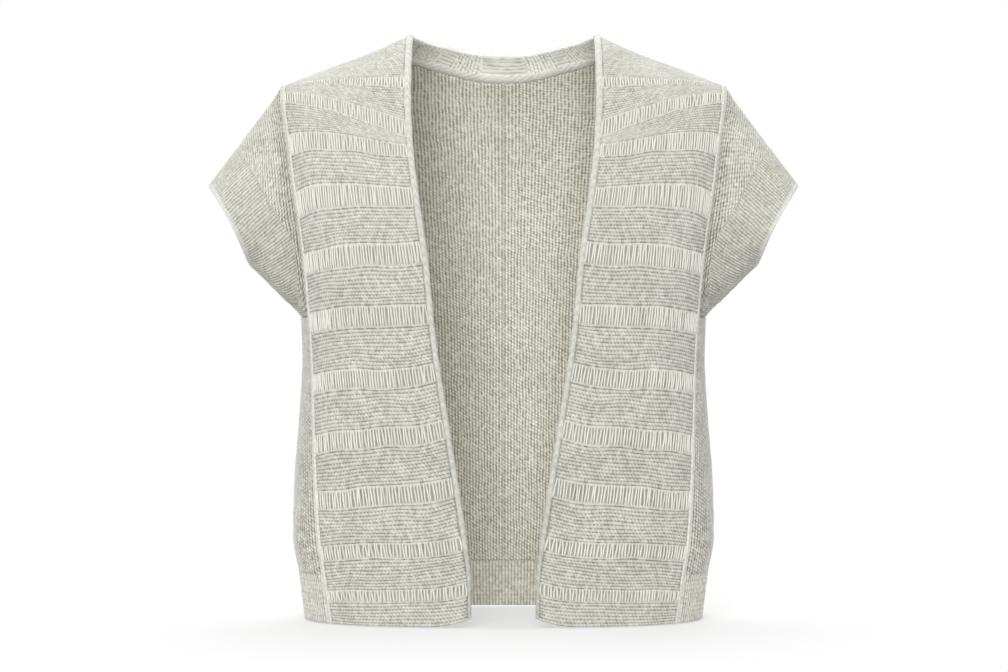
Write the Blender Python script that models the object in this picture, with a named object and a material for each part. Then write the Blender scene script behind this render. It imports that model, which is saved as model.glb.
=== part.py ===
"""Open-front knitted cardigan with cap sleeves, filled out as worn.

Metres, +Z up, the front towards -Y. The origin is on the centre line at the base of the neck.
Every panel is a wall of cloth whose outside lies on one body form. The form is an oval in each level
section, which closes over the shoulders. Ribs and garter ridges are raised in a wall's outer points
over a plain inside. A grid of cloth holds a point and the outward direction, six numbers, in each place.
"""
import bmesh
import bpy
import numpy as np

for leftover in list(bpy.data.objects):
    bpy.data.objects.remove(leftover)

# ---- Cloth and seams ----------------------------------------------------------------------------
WALL = 0.0028  # thickness of the knitted cloth
SEAM = 0.0003  # room between two pieces that are sewn together
CUFF_ROOM = 0.0004  # room between the cap's end and the cuff, which turn differently underneath
BENT_ROOM = 0.0014  # room between two edges that bend over the shoulder in different steps
EDGE_RADIUS = 0.0030  # rolled cord along the front opening
CHAIN_ACROSS = 0.0024  # half the width of a raised chain seam
CHAIN_OUT = 0.0026  # half its height
CORD_SIDES = 8
CHAIN_SIDES = 6

# ---- Levels ------------------------------------------------------------------------------------
HEM = -0.587
RIB_TOP = -0.538  # top of the ribbed hem at the sides and back
UNDERARM = -0.275
CHEST = -0.170  # above this level the form curves in to the shoulders
OVAL = 2.6  # exponent of the level sections: 2 is an ellipse, more is squarer
FRONT_CURVE = 1.8  # exponent of the curve over the shoulder, at the front
BACK_CURVE = 2.0  # and at the back

# A row for each level section: level, half width, depth to the front and to the back, and how far
# from the centre line the front opening and the seam at the strip's outer edge lie.
SECTION_COLUMNS = ("level", "half_width", "front", "back", "opening", "seam")
SECTIONS = np.array((
    (-0.587, 0.2070, 0.128, 0.127, 0.0270, 0.1770),
    (-0.540, 0.2128, 0.129, 0.129, 0.0285, 0.1835),
    (-0.499, 0.2190, 0.130, 0.131, 0.0350, 0.1895),
    (-0.439, 0.2170, 0.130, 0.131, 0.0450, 0.1932),
    (-0.378, 0.2125, 0.129, 0.130, 0.0555, 0.1955),
    (-0.318, 0.2092, 0.128, 0.128, 0.0650, 0.1975),
    (-0.275, 0.2105, 0.127, 0.127, 0.0705, 0.2003),
    (-0.218, 0.2190, 0.126, 0.127, 0.0760, 0.2054),
    (-0.157, 0.2290, 0.125, 0.128, 0.0850, 0.2135),
    (-0.100, 0.2370, 0.124, 0.128, 0.0920, 0.2215),
    (-0.033, 0.2430, 0.124, 0.127, 0.0955, 0.2304),
    (0.045, 0.2460, 0.124, 0.126, 0.0955, 0.2304),
))

# Height of the line over the shoulder at a distance from the centre line. Inside the neck opening
# it only guides the back's curve.
SHOULDER = np.array((
    (0.0000, 0.0434),
    (0.0500, 0.0373),
    (0.0955, 0.0212),
    (0.1204, 0.0097),
    (0.1398, 0.0013),
    (0.1869, -0.0155),
    (0.2304, -0.0325),
    (0.2500, -0.0410),
))

# The front edge rolls inwards near the hem: its radius, and a row for each level with its turn.
ROLL_RADIUS = 0.012
EDGE_ROLL = np.array((
    (-0.587, 90.0),
    (-0.540, 80.0),
    (-0.480, 40.0),
    (-0.420, 10.0),
    (-0.360, 0.0),
    (0.045, 0.0),
))

# ---- Front strip: a row for each band from hem to shoulder seam, with its garter ridges (none in a
# drop-stitch band) and its length along the front opening and along the outer seam.
STRIP_BANDS = (
    (5, 0.0255, 0.0206),
    (0, 0.0160, 0.0122),
    (7, 0.0303, 0.0294),
    (0, 0.0171, 0.0173),
    (8, 0.0372, 0.0334),
    (0, 0.0221, 0.0214),
    (8, 0.0382, 0.0346),
    (0, 0.0211, 0.0226),
    (8, 0.0362, 0.0379),
    (0, 0.0211, 0.0226),
    (9, 0.0393, 0.0400),
    (0, 0.0241, 0.0236),
    (8, 0.0372, 0.0359),
    (0, 0.0261, 0.0247),
    (8, 0.0345, 0.0349),
    (0, 0.0217, 0.0304),
    (7, 0.0293, 0.0345),
    (0, 0.0130, 0.0260),
    (4, 0.0057, 0.0360),
    (0, 0.0223, 0.0170),
    (2, 0.0370, 0.0075),
    (0, 0.0170, 0.0035),
    (3, 0.0900, 0.0060),
)
GARTER_LIFT = 0.0006  # a garter band's furrows, above a drop-stitch band
RIDGE_LIFT = 0.0010  # its ridges, above the furrows
STRIP_ACROSS = (0.0, 0.045, 0.09, 0.135, 0.35, 0.60, 0.82, 1.0)

# ---- Neck: half widths and depths, seen from above, of the neckline and of the seam under the band.
NECKLINE = (0.0955, 0.070)
NECK_SEAM = (0.1250, 0.090)
NECK_STEEP = 1.9  # length along the cloth for each length in plan, at the centre back
NECK_COLUMNS = 9  # of the back panel, from the centre back to the shoulder seam
# A row for each section of the neck band from the centre back outwards: ridges and length.
NECK_BANDS = (
    (0, 0.026),
    (7, 0.033),
    (0, 0.019),
    (8, 0.037),
    (0, 0.022),
    (4, 0.023),
)

# ---- Sleeve ------------------------------------------------------------------------------------
CUFF_TIP = (0.3075, -0.1365)  # distance from the centre line and level of the opening's highest point
CUFF_FOOT = (0.2640, -0.2205)  # and of its lowest point
CUFF_DEPTH = 0.122  # width of the opening from front to back
CUFF_BOW = 0.005  # how far its front and back lie inside the line from the highest to the lowest point
# A row for each place round the sleeve, from the top in turns: how far down the armhole the cloth
# there starts, and at what share of its run to the opening the cuff's rib begins.
SLEEVE_RUN = np.array((
    (0.000, 0.00, 0.62),
    (0.125, 0.14, 0.56),
    (0.250, 0.42, 0.40),
    (0.375, 0.64, 0.14),
    (0.500, 1.00, 0.34),
))
CORNER_RUN = 0.12  # share of the run in which the armhole's corners are rounded off
CORNER = 12  # places round the sleeve to each side over which they are rounded
CUFF_RIBS = 72
CAP_COLUMNS = 72
HEM_RIB = 0.0050  # width of one rib of the hem
RIB_LIFT = 0.0010
CUFF_RIM = 0.0008  # how far the rolled rim stands above the ribs' furrows

# ---- Fineness ----------------------------------------------------------------------------------
FINE = 240  # steps of the form before it is shared out into a panel's own rows and columns
SIDE_LEVELS = np.linspace(RIB_TOP, UNDERARM, 9)  # rows of the side and back below the underarm
RIGHT, LEFT = 1, -1  # the viewer's right is +X
PAST_SEAM = 1.06  # share of the way from the opening to the seam line at which a fine grid ends
FRONT_SHARES = np.linspace(0, PAST_SEAM, 54)
BACK_COLUMNS = (0.150, 0.178, 0.206)  # distances from the centre line, between neck and armhole
BACK_ROWS = 10  # of the back panel above the underarm
STRIP_KEPT = 24  # rows that the strip's plain inside keeps
SIDE_COLUMNS = 9
EDGE_POINTS = 30
CHAIN_POINTS = 26  # of a chain seam above the underarm
NECK_POINTS = 31
NECK_KEPT = 25
CAP_ROWS = 3
RIM_SHARE = 0.97  # share of the sleeve's run at which the cuff's rolled rim begins
BACK_REACH = 0.2  # angle past the back seam line to which the back hem's fine line runs


# ---- Tables and curves -------------------------------------------------------------------------
def smooth(places, values, at):
    """Values between a table's rows, on cubic curves that never overshoot a row."""
    step = np.diff(places)
    slope = np.diff(values) / step
    tangent = np.concatenate((slope[:1], np.zeros(len(slope) - 1), slope[-1:]))
    same = slope[:-1] * slope[1:] > 0
    both = slope[:-1][same] + slope[1:][same]
    tangent[1:-1][same] = 2 * slope[:-1][same] * slope[1:][same] / both
    at = np.clip(at, places[0], places[-1])
    k = np.clip(np.searchsorted(places, at, side="right") - 1, 0, len(step) - 1)
    u = (at - places[k]) / step[k]
    ends = (1 + 2 * u) * (1 - u) ** 2 * values[k] + u * u * (3 - 2 * u) * values[k + 1]
    bend = u * (1 - u) ** 2 * tangent[k] - u * u * (1 - u) * tangent[k + 1]
    return ends + step[k] * bend


def section(column, level):
    """A column of SECTIONS at any level."""
    return smooth(SECTIONS[:, 0], SECTIONS[:, SECTION_COLUMNS.index(column)], level)


def shoulder(x):
    """Height of the shoulder line at a distance from the centre line."""
    return smooth(SHOULDER[:, 0], SHOULDER[:, 1], np.abs(x))


def unit(vectors):
    """The same directions, one metre long."""
    return vectors / np.linalg.norm(vectors, axis=-1, keepdims=True)


# ---- The body form -----------------------------------------------------------------------------
def oval_depth(x, z, side):
    """Half depth of the level oval, as if the shoulders did not close it."""
    share = np.clip(np.abs(x) / section("half_width", z), 0, 0.9999)
    return section(side, z) * (1 - share**OVAL) ** (1 / OVAL)


def rise(x, z):
    """How far a level has risen from the chest to the shoulder line, from 0 to 1."""
    return np.clip((z - CHEST) / (shoulder(x) - CHEST), 0, 1)


def curve_of(side):
    """Exponent of the curve over the shoulder."""
    return FRONT_CURVE if side == "front" else BACK_CURVE


def half_depth(x, z, side):
    """Distance of the form from the plane of the shoulders, at least half a seam's room."""
    power = curve_of(side)
    depth = oval_depth(x, z, side) * (1 - rise(x, z) ** power) ** (1 / power)
    return np.maximum(depth, SEAM / 2)


def form_level(points, side):
    """A value that is 0 on the form and grows outwards: the shoulder curve's own equation."""
    x, y, z = np.moveaxis(points, -1, 0)
    power = curve_of(side)
    return (np.abs(y) / oval_depth(x, z, side)) ** power + rise(x, z) ** power


def oval_level(points, side):
    """The same for the level oval, which holds below the underarm."""
    x, y, z = np.moveaxis(points, -1, 0)
    across = np.abs(x) / section("half_width", z)
    return across**OVAL + (np.abs(y) / section(side, z)) ** OVAL


def outward(points, level_of, side):
    """Outward directions: the slope of a level function, measured over a short step each way."""
    step = 2e-5
    slopes = []
    for axis in np.eye(3) * step:
        slopes.append(level_of(points + axis, side) - level_of(points - axis, side))
    return unit(np.stack(slopes, axis=-1))


def back_level(x, y):
    """Level of the back form above a place in plan, found by repeated correction."""
    z = shoulder(x)
    for _ in range(12):
        share = np.clip(y / oval_depth(x, z, "back"), 0, 1)
        z = CHEST + (shoulder(x) - CHEST) * (1 - share**BACK_CURVE) ** (1 / BACK_CURVE)
    return z


# ---- Grids of cloth ----------------------------------------------------------------------------
def lengths(line):
    """Distance along a line from its start, measured on the inside of the cloth."""
    inside = line[:, :3] - line[:, 3:] * WALL
    steps = np.linalg.norm(np.diff(inside, axis=0), axis=1)
    return np.concatenate(([0.0], np.cumsum(steps)))


def along(line, wanted):
    """The line's points and directions at wanted distances from its start."""
    known = lengths(line)
    return np.stack([np.interp(wanted, known, values) for values in line.T], axis=-1)


def crossing(grid, column):
    """Sine of the angle at which each row of a grid[column, row] crosses one column's line."""
    up = unit(np.gradient(grid[column, :, :3], axis=0))
    across = unit(np.gradient(grid[..., :3], axis=0)[column])
    return np.linalg.norm(np.cross(up, across), axis=-1)


def levels_up(start, top, top_rise, power):
    """Levels from a start to a top in each column, close together where the form closes over."""
    straight = FINE // 2
    low = start + (CHEST - start) * np.linspace(0, 1, straight)
    turn = np.linspace(0, 1, FINE - straight + 1)[1:] * np.arcsin(top_rise ** (power / 2))
    high = CHEST + (top - CHEST) * np.sin(turn) ** (2 / power) / top_rise
    return np.concatenate((np.broadcast_to(low, (len(top), straight)), high), axis=1)


def front_form():
    """The front from the opening to just past the seam line, and from the hem to the shoulder."""
    share = FRONT_SHARES[:, None]
    width = section("seam", 0.0) - section("opening", 0.0)
    top = shoulder(section("opening", 0.0) + share * width)
    z = levels_up(HEM, top, np.ones_like(top), FRONT_CURVE)
    x = section("opening", z) + share * (section("seam", z) - section("opening", z))
    points = np.stack((x, -half_depth(x, z, "front"), z), axis=-1)
    return np.concatenate((points, outward(points, form_level, "front")), axis=-1)


def back_form(shares, ends):
    """Back columns at shares of the seam line's distance, from the hem rib to a depth in plan."""
    share = np.asarray(shares)[:, None]
    top_x = share * section("seam", 0.0)
    depth = np.asarray(ends)[:, None]
    top = back_level(top_x, depth)
    top_rise = np.maximum(rise(top_x, top), 1e-6)
    z = levels_up(RIB_TOP, top, top_rise, BACK_CURVE)
    x = share * section("seam", z)
    points = np.stack((x, half_depth(x, z, "back"), z), axis=-1)
    return np.concatenate((points, outward(points, form_level, "back")), axis=-1)


def seam_angle(z, side):
    """Angle on the level oval at which the seam line lies."""
    return np.arccos((section("seam", z) / section("half_width", z)) ** (OVAL / 2))


def oval_points(angle, z):
    """Points on the level oval: angle 0 is the side, negative is the front, positive the back."""
    front, back = section("front", z), section("back", z)
    x = section("half_width", z) * np.sign(np.cos(angle)) * np.abs(np.cos(angle)) ** (2 / OVAL)
    depth = np.where(angle < 0, front, back)
    y = depth * np.sign(np.sin(angle)) * np.abs(np.sin(angle)) ** (2 / OVAL)
    points = np.stack(np.broadcast_arrays(x, y, z), axis=-1)
    direction = np.where(
        (angle < 0)[..., None], outward(points, oval_level, "front"), outward(points, oval_level, "back")
    )
    return np.concatenate((points, direction), axis=-1)


def side_arc(z):
    """Fine line round the side at a level, from the front seam line to the back seam line."""
    share = np.linspace(0, 1, FINE + 1)
    angle = (2 * share - 1) * seam_angle(z, "front")
    return oval_points(angle, np.full_like(angle, z))


def roll_edge(grid):
    """Turn the cloth near the opening inwards, on a round whose turn grows to the hem."""
    for row in range(grid.shape[1]):
        line = grid[:, row]
        most = np.radians(smooth(EDGE_ROLL[:, 0], EDGE_ROLL[:, 1], line[0, 2]))
        turn = np.clip(most - lengths(line) / ROLL_RADIUS, 0, None)[:, None]
        start = along(line, np.array([ROLL_RADIUS * most]))[0]
        facing = unit(start[3:] * (1, 1, 0))
        sideways = np.array((-facing[1], facing[0], 0.0))
        inward = ROLL_RADIUS * (1 - np.cos(turn)) * facing
        rolled = start[:3] - ROLL_RADIUS * np.sin(turn) * sideways - inward
        rolled[:, 2] = line[:, 2]
        facing = np.cos(turn) * facing - np.sin(turn) * sideways
        near = turn[:, 0] > 0
        line[near, :3] = rolled[near]
        line[near, 3:] = facing[near]
    return grid


# ---- Solids ------------------------------------------------------------------------------------
def zip_rows(one, one_at, two, two_at):
    """Triangles between two rows of points, taking whichever row's next point comes first."""
    faces = []
    i = j = 0
    while i < len(one) - 1 or j < len(two) - 1:
        if j == len(two) - 1 or (i < len(one) - 1 and one_at[i + 1] <= two_at[j + 1]):
            faces.append((one[i], one[i + 1], two[j]))
            i += 1
        else:
            faces.append((one[i], two[j + 1], two[j]))
            j += 1
    return faces


def quads(index):
    """Faces between the neighbours of a grid of point numbers."""
    corners = index[:-1, :-1], index[1:, :-1], index[1:, 1:], index[:-1, 1:]
    return list(zip(*(corner.ravel().tolist() for corner in corners)))


def solid(name, points, faces, material):
    """A closed mesh object with its faces turned outwards."""
    mesh = bpy.data.meshes.new(name)
    mesh.from_pydata([tuple(point) for point in points], [], faces)
    work = bmesh.new()
    work.from_mesh(mesh)
    bmesh.ops.recalc_face_normals(work, faces=work.faces)
    work.to_mesh(mesh)
    work.free()
    mesh.shade_smooth()
    mesh.set_sharp_from_angle(angle=np.radians(50))
    mesh.materials.append(material)
    piece = bpy.data.objects.new(name, mesh)
    bpy.context.collection.objects.link(piece)
    return piece


def wall(name, grid, material, lift=None, rows=None, columns=None, closed=False, side=RIGHT):
    """A wall of cloth: grid[row, column], with a lift on its outside and a coarser plain inside.

    rows and columns are the numbers of those that the inside keeps. A closed wall is a ring whose
    first column comes again after its last.
    """
    count = grid.shape[:2]
    lift = np.zeros(count) if lift is None else np.broadcast_to(lift, count)
    rows = np.arange(count[0]) if rows is None else np.unique(rows)
    columns = np.arange(count[1]) if columns is None else np.unique(columns)
    outer = grid[..., :3] + grid[..., 3:] * lift[..., None]
    inner = (grid[..., :3] - grid[..., 3:] * WALL)[np.ix_(rows, columns)]
    points = np.concatenate((outer.reshape(-1, 3), inner.reshape(-1, 3))) * (side, 1, 1)
    outer_index = np.arange(count[0] * count[1]).reshape(count)
    inner_index = outer_index.size + np.arange(inner.shape[0] * inner.shape[1]).reshape(inner.shape[:2])
    places = np.arange(count[1])
    if closed:
        outer_index = np.column_stack((outer_index, outer_index[:, 0]))
        inner_index = np.column_stack((inner_index, inner_index[:, 0]))
        places = np.arange(count[1] + 1)
        columns = np.append(columns, count[1])
    faces = quads(outer_index) + quads(inner_index)
    for end in (0, -1):
        faces += zip_rows(outer_index[end], places, inner_index[end], columns)
        if not closed:
            faces += zip_rows(outer_index[:, end], np.arange(count[0]), inner_index[:, end], rows)
    return solid(name, points, [tuple(int(p) for p in face) for face in faces], material)


def cord(name, line, across, out, sides, material, side=RIGHT):
    """A tube with an oval section along a line of cloth, centred in the cloth's thickness."""
    facing = line[:, 3:]
    centre = line[:, :3] - facing * WALL / 2
    forward = unit(np.gradient(centre, axis=0))
    sideways = unit(np.cross(forward, facing))
    turn = (np.arange(sides) + 0.5) * 2 * np.pi / sides
    ring = (
        centre[:, None]
        + across * np.cos(turn)[None, :, None] * sideways[:, None]
        + out * np.sin(turn)[None, :, None] * facing[:, None]
    )
    points = ring.reshape(-1, 3) * (side, 1, 1)
    index = np.arange(len(points)).reshape(len(line), sides)
    faces = quads(np.column_stack((index, index[:, 0])))
    faces += [tuple(index[0].tolist()), tuple(index[-1].tolist())]
    return solid(name, points, faces, material)


def yarn(name, colour):
    """A matt woollen material."""
    material = bpy.data.materials.new(name)
    material.use_nodes = True
    shader = material.node_tree.nodes["Principled BSDF"]
    shader.inputs["Base Color"].default_value = (*colour, 1)
    shader.inputs["Roughness"].default_value = 0.9
    shader.inputs["Metallic"].default_value = 0.0
    material.diffuse_color = (*colour, 1)
    return material


# ---- Pieces ------------------------------------------------------------------------------------
def band_rows(bands, length_columns):
    """Rows of a banded strip: their distances along it in each length column, and their lifts."""
    starts = np.zeros(len(length_columns))
    places = [starts]
    lifts = [0.0]
    for band in bands:
        ridges = band[0]
        length = np.array([band[column] for column in length_columns])
        steps = max(2 * ridges, 2)
        for step in range(1, steps + 1):
            places.append(starts + length * step / steps)
            lifts.append(GARTER_LIFT + RIDGE_LIFT * (step % 2) if ridges and step < steps else 0.0)
        starts = starts + length
    return np.array(places), np.array(lifts)


def strip_grid(front):
    """The front strip's rows and columns of cloth, and its lifts."""
    places, lifts = band_rows(STRIP_BANDS, (1, 2))
    fine = []
    for column, s in zip(front, FRONT_SHARES):
        wanted = places[:, 0] + min(s, 1) * (places[:, 1] - places[:, 0])
        fine.append(along(column, wanted * lengths(column)[-1] / wanted[-1]))
    fine = np.array(fine)
    seam_column = np.argmin(np.abs(FRONT_SHARES - 1))
    starts = (2 * EDGE_RADIUS + SEAM) / crossing(fine, 0)
    rooms = (CHAIN_ACROSS + BENT_ROOM) / crossing(fine, seam_column)
    grid = []
    for line, start, room in zip(fine.transpose(1, 0, 2), starts, rooms):
        end = lengths(line)[seam_column] - room
        grid.append(along(line, start + (end - start) * np.array(STRIP_ACROSS)))
    grid = np.array(grid)
    lift = np.tile(lifts[:, None], (1, grid.shape[1]))
    lift[:, (0, -1)] = 0
    return grid, lift


def offset_line(grid, start_share, distance, shares=FRONT_SHARES):
    """The line that lies a distance past one of the grid's columns, the one with a given share."""
    from_column = np.argmin(np.abs(shares - start_share))
    line = []
    for across, sine in zip(grid.transpose(1, 0, 2), crossing(grid, from_column)):
        line.append(along(across, np.array([lengths(across)[from_column] + distance / sine]))[0])
    return np.array(line)


def chain_rows(line, levels, above):
    """A seam line's rows: at given levels, and then evenly up to just short of its end."""
    low = np.interp(levels, line[:, 2], lengths(line))
    high = np.linspace(low[-1], lengths(line)[-1] - CHAIN_ACROSS / 2, above + 1)[1:]
    return along(line, np.concatenate((low, high)))


def side_grid(levels, columns):
    """Cloth round the side, between the chain seam in front and the back panel."""
    grid = []
    for z in levels:
        arc = side_arc(z)
        room = CHAIN_ACROSS + SEAM
        grid.append(along(arc, np.linspace(room, lengths(arc)[-1] - room, columns)))
    return np.array(grid)


def rib_count(width):
    """Whole ribs that fit in a width."""
    return int(round(width / HEM_RIB))


def ribs(count):
    """Lifts across ribs: a furrow, then a ridge and a furrow for each rib."""
    return np.tile((0.0, RIB_LIFT), count + 1)[: 2 * count + 1]


def hem_piece(name, grid_at, width, material, side=RIGHT):
    """A ribbed hem between the hem and the rib's top."""
    count = rib_count(width)
    grid = grid_at((HEM, RIB_TOP - SEAM), 2 * count + 1)
    kept = np.linspace(0, 2 * count, count // 2 + 1).round().astype(int)
    return wall(name, grid, material, lift=ribs(count)[None, :], columns=kept, side=side)


def back_hem_grid(levels, columns):
    """Cloth round the back at given levels, from one seam line to the other."""
    grid = []
    for z in levels:
        reach = seam_angle(z, "back")
        angle = np.linspace(reach - BACK_REACH, np.pi - reach + BACK_REACH, 2 * FINE + 1)
        arc = oval_points(angle, np.full_like(angle, z))
        middle = lengths(arc)[-1] / 2
        half = middle - np.interp(reach, angle, lengths(arc)) + CHAIN_ACROSS
        grid.append(along(arc, middle + np.linspace(-half, half, columns)))
    return np.array(grid)


def back_seam_line(distance):
    """The line at a distance past the seam line, on the back."""
    shares = np.linspace(2 - PAST_SEAM, PAST_SEAM, 11)
    reach = back_form(shares, np.full(len(shares), SEAM / 2))
    return offset_line(reach, 1.0, distance, shares)


def panel_rows(column):
    """Distances of a back column's rows: at the side's levels, and then evenly to its end."""
    low = np.interp(SIDE_LEVELS, column[:, 2], lengths(column))
    return np.concatenate((low, np.linspace(low[-1], lengths(column)[-1], BACK_ROWS + 1)[1:]))


def back_grid():
    """The back panel: columns from seam to seam, rows from the hem rib to neck seam and shoulders."""
    room = CHAIN_ACROSS + BENT_ROOM
    neck = NECK_SEAM[0] + room, NECK_SEAM[1] + room / NECK_STEEP
    angles = np.linspace(np.pi / 2, 0, NECK_COLUMNS)
    half_x = np.concatenate((neck[0] * np.cos(angles), BACK_COLUMNS, (section("seam", 0.0),)))
    half_y = np.concatenate((neck[1] * np.sin(angles), np.zeros(len(BACK_COLUMNS) + 1)))
    half = back_form(half_x / section("seam", 0.0), np.maximum(half_y, SEAM / 2))
    half[-1] = back_seam_line(CHAIN_ACROSS)
    rows = [along(column, panel_rows(column)) for column in half]
    half = np.array(rows).transpose(1, 0, 2)
    other = half[:, :0:-1] * (-1, 1, 1, -1, 1, 1)
    return np.concatenate((other, half), axis=1)


def plan_ring(size, angles):
    """Points of the back form above an oval in plan, with their outward directions."""
    x = size[0] * np.cos(angles)
    y = np.maximum(size[1] * np.sin(angles), SEAM / 2)
    points = np.stack((x, y, back_level(x, y)), axis=-1)
    return np.concatenate((points, outward(points, form_level, "back")), axis=-1)


def neck_angles():
    """Angles of the neck band's columns, from one shoulder to the other, and their lifts."""
    places, lifts = band_rows(NECK_BANDS, (1,))
    middle = [(a + b) / 2 for a, b in zip(NECKLINE, NECK_SEAM)]
    turn = np.linspace(np.pi / 2, 0, FINE)
    path = np.zeros((FINE, 6))
    path[:, 0] = middle[0] * np.cos(turn)
    path[:, 1] = middle[1] * np.sin(turn)
    share = places[:, 0] / places[-1, 0]
    angle = np.interp(share * lengths(path)[-1], lengths(path), turn)
    return np.concatenate((np.pi - angle[::-1], angle[1:])), np.concatenate((lifts[::-1], lifts[1:]))


def make_neck(material, chain_material):
    """The band round the back of the neck, and the chain seam under it."""
    angles, lifts = neck_angles()
    room = CHAIN_ACROSS + SEAM
    low = NECK_SEAM[0] - room, NECK_SEAM[1] - room / NECK_STEEP
    rows = []
    for share in (0, 1 / 3, 2 / 3, 1):
        size = [a + share * (b - a) for a, b in zip(NECKLINE, low)]
        rows.append(plan_ring(size, angles))
    grid = np.array(rows)
    lift = np.array((0, 1, 1, 0))[:, None] * lifts[None, :]
    kept = np.linspace(0, grid.shape[1] - 1, NECK_KEPT).round().astype(int)
    wall("neck_band", grid, material, lift=lift, rows=(0, 3), columns=kept)
    ring = plan_ring(NECK_SEAM, np.linspace(np.pi, 0, NECK_POINTS))
    cord("neck_seam", ring, CHAIN_ACROSS, CHAIN_OUT, CHAIN_SIDES, chain_material)


def armhole_half(edge, side):
    """Half the armhole: down one edge from the shoulder, then along the top of the side panel."""
    sign = -1 if side == "front" else 1
    down = edge[::-1]
    down = down[down[:, 2] > UNDERARM + SEAM]
    arc = side_arc(UNDERARM)
    arc[:, 2] = UNDERARM + SEAM
    middle = len(arc) // 2
    room = CHAIN_ACROSS + SEAM
    at = lengths(arc)
    if side == "front":
        under = arc[(at > room) & (np.arange(len(arc)) <= middle)]
    else:
        under = arc[(at < at[-1] - room) & (np.arange(len(arc)) >= middle)][::-1]
    top = down[0].copy()
    top[1] = sign * SEAM / 2
    return np.concatenate((top[None], down[1:], under))


def sleeve_form(front, back_edge_line):
    """Sleeve cloth as grid[turn, run], in straight runs from armhole to opening, and its rib starts."""
    front_edge_line = offset_line(front, 1.0, CHAIN_ACROSS + BENT_ROOM)
    halves = armhole_half(front_edge_line, "front"), armhole_half(back_edge_line, "back")
    turns = np.arange(4 * CUFF_RIBS) / (4 * CUFF_RIBS)
    from_top = np.minimum(turns, 1 - turns)
    down = smooth(SLEEVE_RUN[:, 0], SLEEVE_RUN[:, 1], from_top)
    starts = []
    for turn, drop in zip(turns, down):
        line = halves[0] if turn <= 0.5 else halves[1]
        starts.append(along(line, np.array([drop * lengths(line)[-1]]))[0])
    starts = np.array(starts)
    tip, foot = np.array(CUFF_TIP), np.array(CUFF_FOOT)
    centre, reach = (tip + foot) / 2, (tip - foot) / 2
    angle = 2 * np.pi * turns
    x = centre[0] + reach[0] * np.cos(angle) - CUFF_BOW * np.sin(angle) ** 2
    z = centre[1] + reach[1] * np.cos(angle)
    ends = np.stack((x, -CUFF_DEPTH / 2 * np.sin(angle), z), axis=-1)
    rounded = np.mean([np.roll(starts[:, :3], k, axis=0) for k in range(-CORNER, CORNER + 1)], axis=0)
    run = np.linspace(0, 1, 41)[None, :, None]
    soft = np.clip(run / CORNER_RUN, 0, 1)
    points = (starts[:, None, :3] * (1 - soft) + rounded[:, None] * soft) * (1 - run) + ends[:, None] * run
    around = np.roll(points, -1, axis=0) - np.roll(points, 1, axis=0)
    facing = unit(np.cross(around, np.gradient(points, axis=1)))
    facing[:, 0] = starts[:, 3:]
    rib_start = smooth(SLEEVE_RUN[:, 0], SLEEVE_RUN[:, 2], from_top)
    return np.concatenate((points, facing), axis=-1), rib_start


def make_sleeve(form, rib_start, sleeve_material, cuff_material, side):
    """A sleeve cap and its ribbed cuff."""
    suffix = "right" if side == RIGHT else "left"
    step = len(form) // CAP_COLUMNS
    cap = []
    for line, start in zip(form[::step], rib_start[::step]):
        reach = start * lengths(line)[-1] - SEAM
        cap.append(along(line, np.linspace(0, reach, CAP_ROWS)))
    cap = np.array(cap).transpose(1, 0, 2)
    cap[0, :, 3:] = form[::step, 0, 3:]
    wall("sleeve_" + suffix, cap, sleeve_material, closed=True, side=side)
    step = len(form) // (2 * CUFF_RIBS)
    cuff = []
    for line, start in zip(form[::step], rib_start[::step]):
        reach = lengths(line)[-1]
        first = start * reach + CUFF_ROOM
        cuff.append(along(line, np.append(np.linspace(first, RIM_SHARE * reach, 3), reach)))
    cuff = np.array(cuff).transpose(1, 0, 2)
    lift = np.tile(np.tile((0.0, RIB_LIFT), CUFF_RIBS), (len(cuff), 1))
    lift[-1] = CUFF_RIM
    kept = np.arange(0, 2 * CUFF_RIBS, 4)
    ring = {"rows": (0, 1, 3), "columns": kept, "closed": True, "side": side}
    wall("cuff_" + suffix, cuff, cuff_material, lift=lift, **ring)


def make_cardigan():
    """Every piece of the garment."""
    strip_yarn = yarn("strip_yarn", (0.62, 0.61, 0.54))
    edge_yarn = yarn("edge_yarn", (0.68, 0.67, 0.60))
    purl_yarn = yarn("purl_yarn", (0.56, 0.55, 0.48))
    rib_yarn = yarn("rib_yarn", (0.60, 0.59, 0.52))

    front = roll_edge(front_form())
    strip, lift = strip_grid(front)
    kept = np.linspace(0, len(strip) - 1, STRIP_KEPT).round().astype(int)
    opening = offset_line(front, 0.0, EDGE_RADIUS)
    opening = along(opening, np.linspace(0, lengths(opening)[-1], EDGE_POINTS))
    seam = chain_rows(offset_line(front, 1.0, 0.0), (HEM, *SIDE_LEVELS), CHAIN_POINTS)
    sleeve, rib_start = sleeve_form(front, back_seam_line(CHAIN_ACROSS + BENT_ROOM))
    side_width = lengths(side_arc(RIB_TOP))[-1]

    for side, suffix in ((RIGHT, "right"), (LEFT, "left")):
        wall("front_strip_" + suffix, strip, strip_yarn, lift=lift, rows=kept, side=side)
        cord("front_edge_" + suffix, opening, EDGE_RADIUS, EDGE_RADIUS, CORD_SIDES, edge_yarn, side)
        cord("strip_seam_" + suffix, seam, CHAIN_ACROSS, CHAIN_OUT, CHAIN_SIDES, edge_yarn, side)
        wall("side_panel_" + suffix, side_grid(SIDE_LEVELS, SIDE_COLUMNS), purl_yarn, side=side)
        hem_piece("side_hem_" + suffix, side_grid, side_width, rib_yarn, side)
        make_sleeve(sleeve, rib_start, purl_yarn, rib_yarn, side)

    wall("back_panel", back_grid(), purl_yarn)
    back_line = back_hem_grid((RIB_TOP,), FINE)[0]
    hem_piece("back_hem", back_hem_grid, lengths(back_line)[-1], rib_yarn)
    make_neck(strip_yarn, edge_yarn)


make_cardigan()
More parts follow.
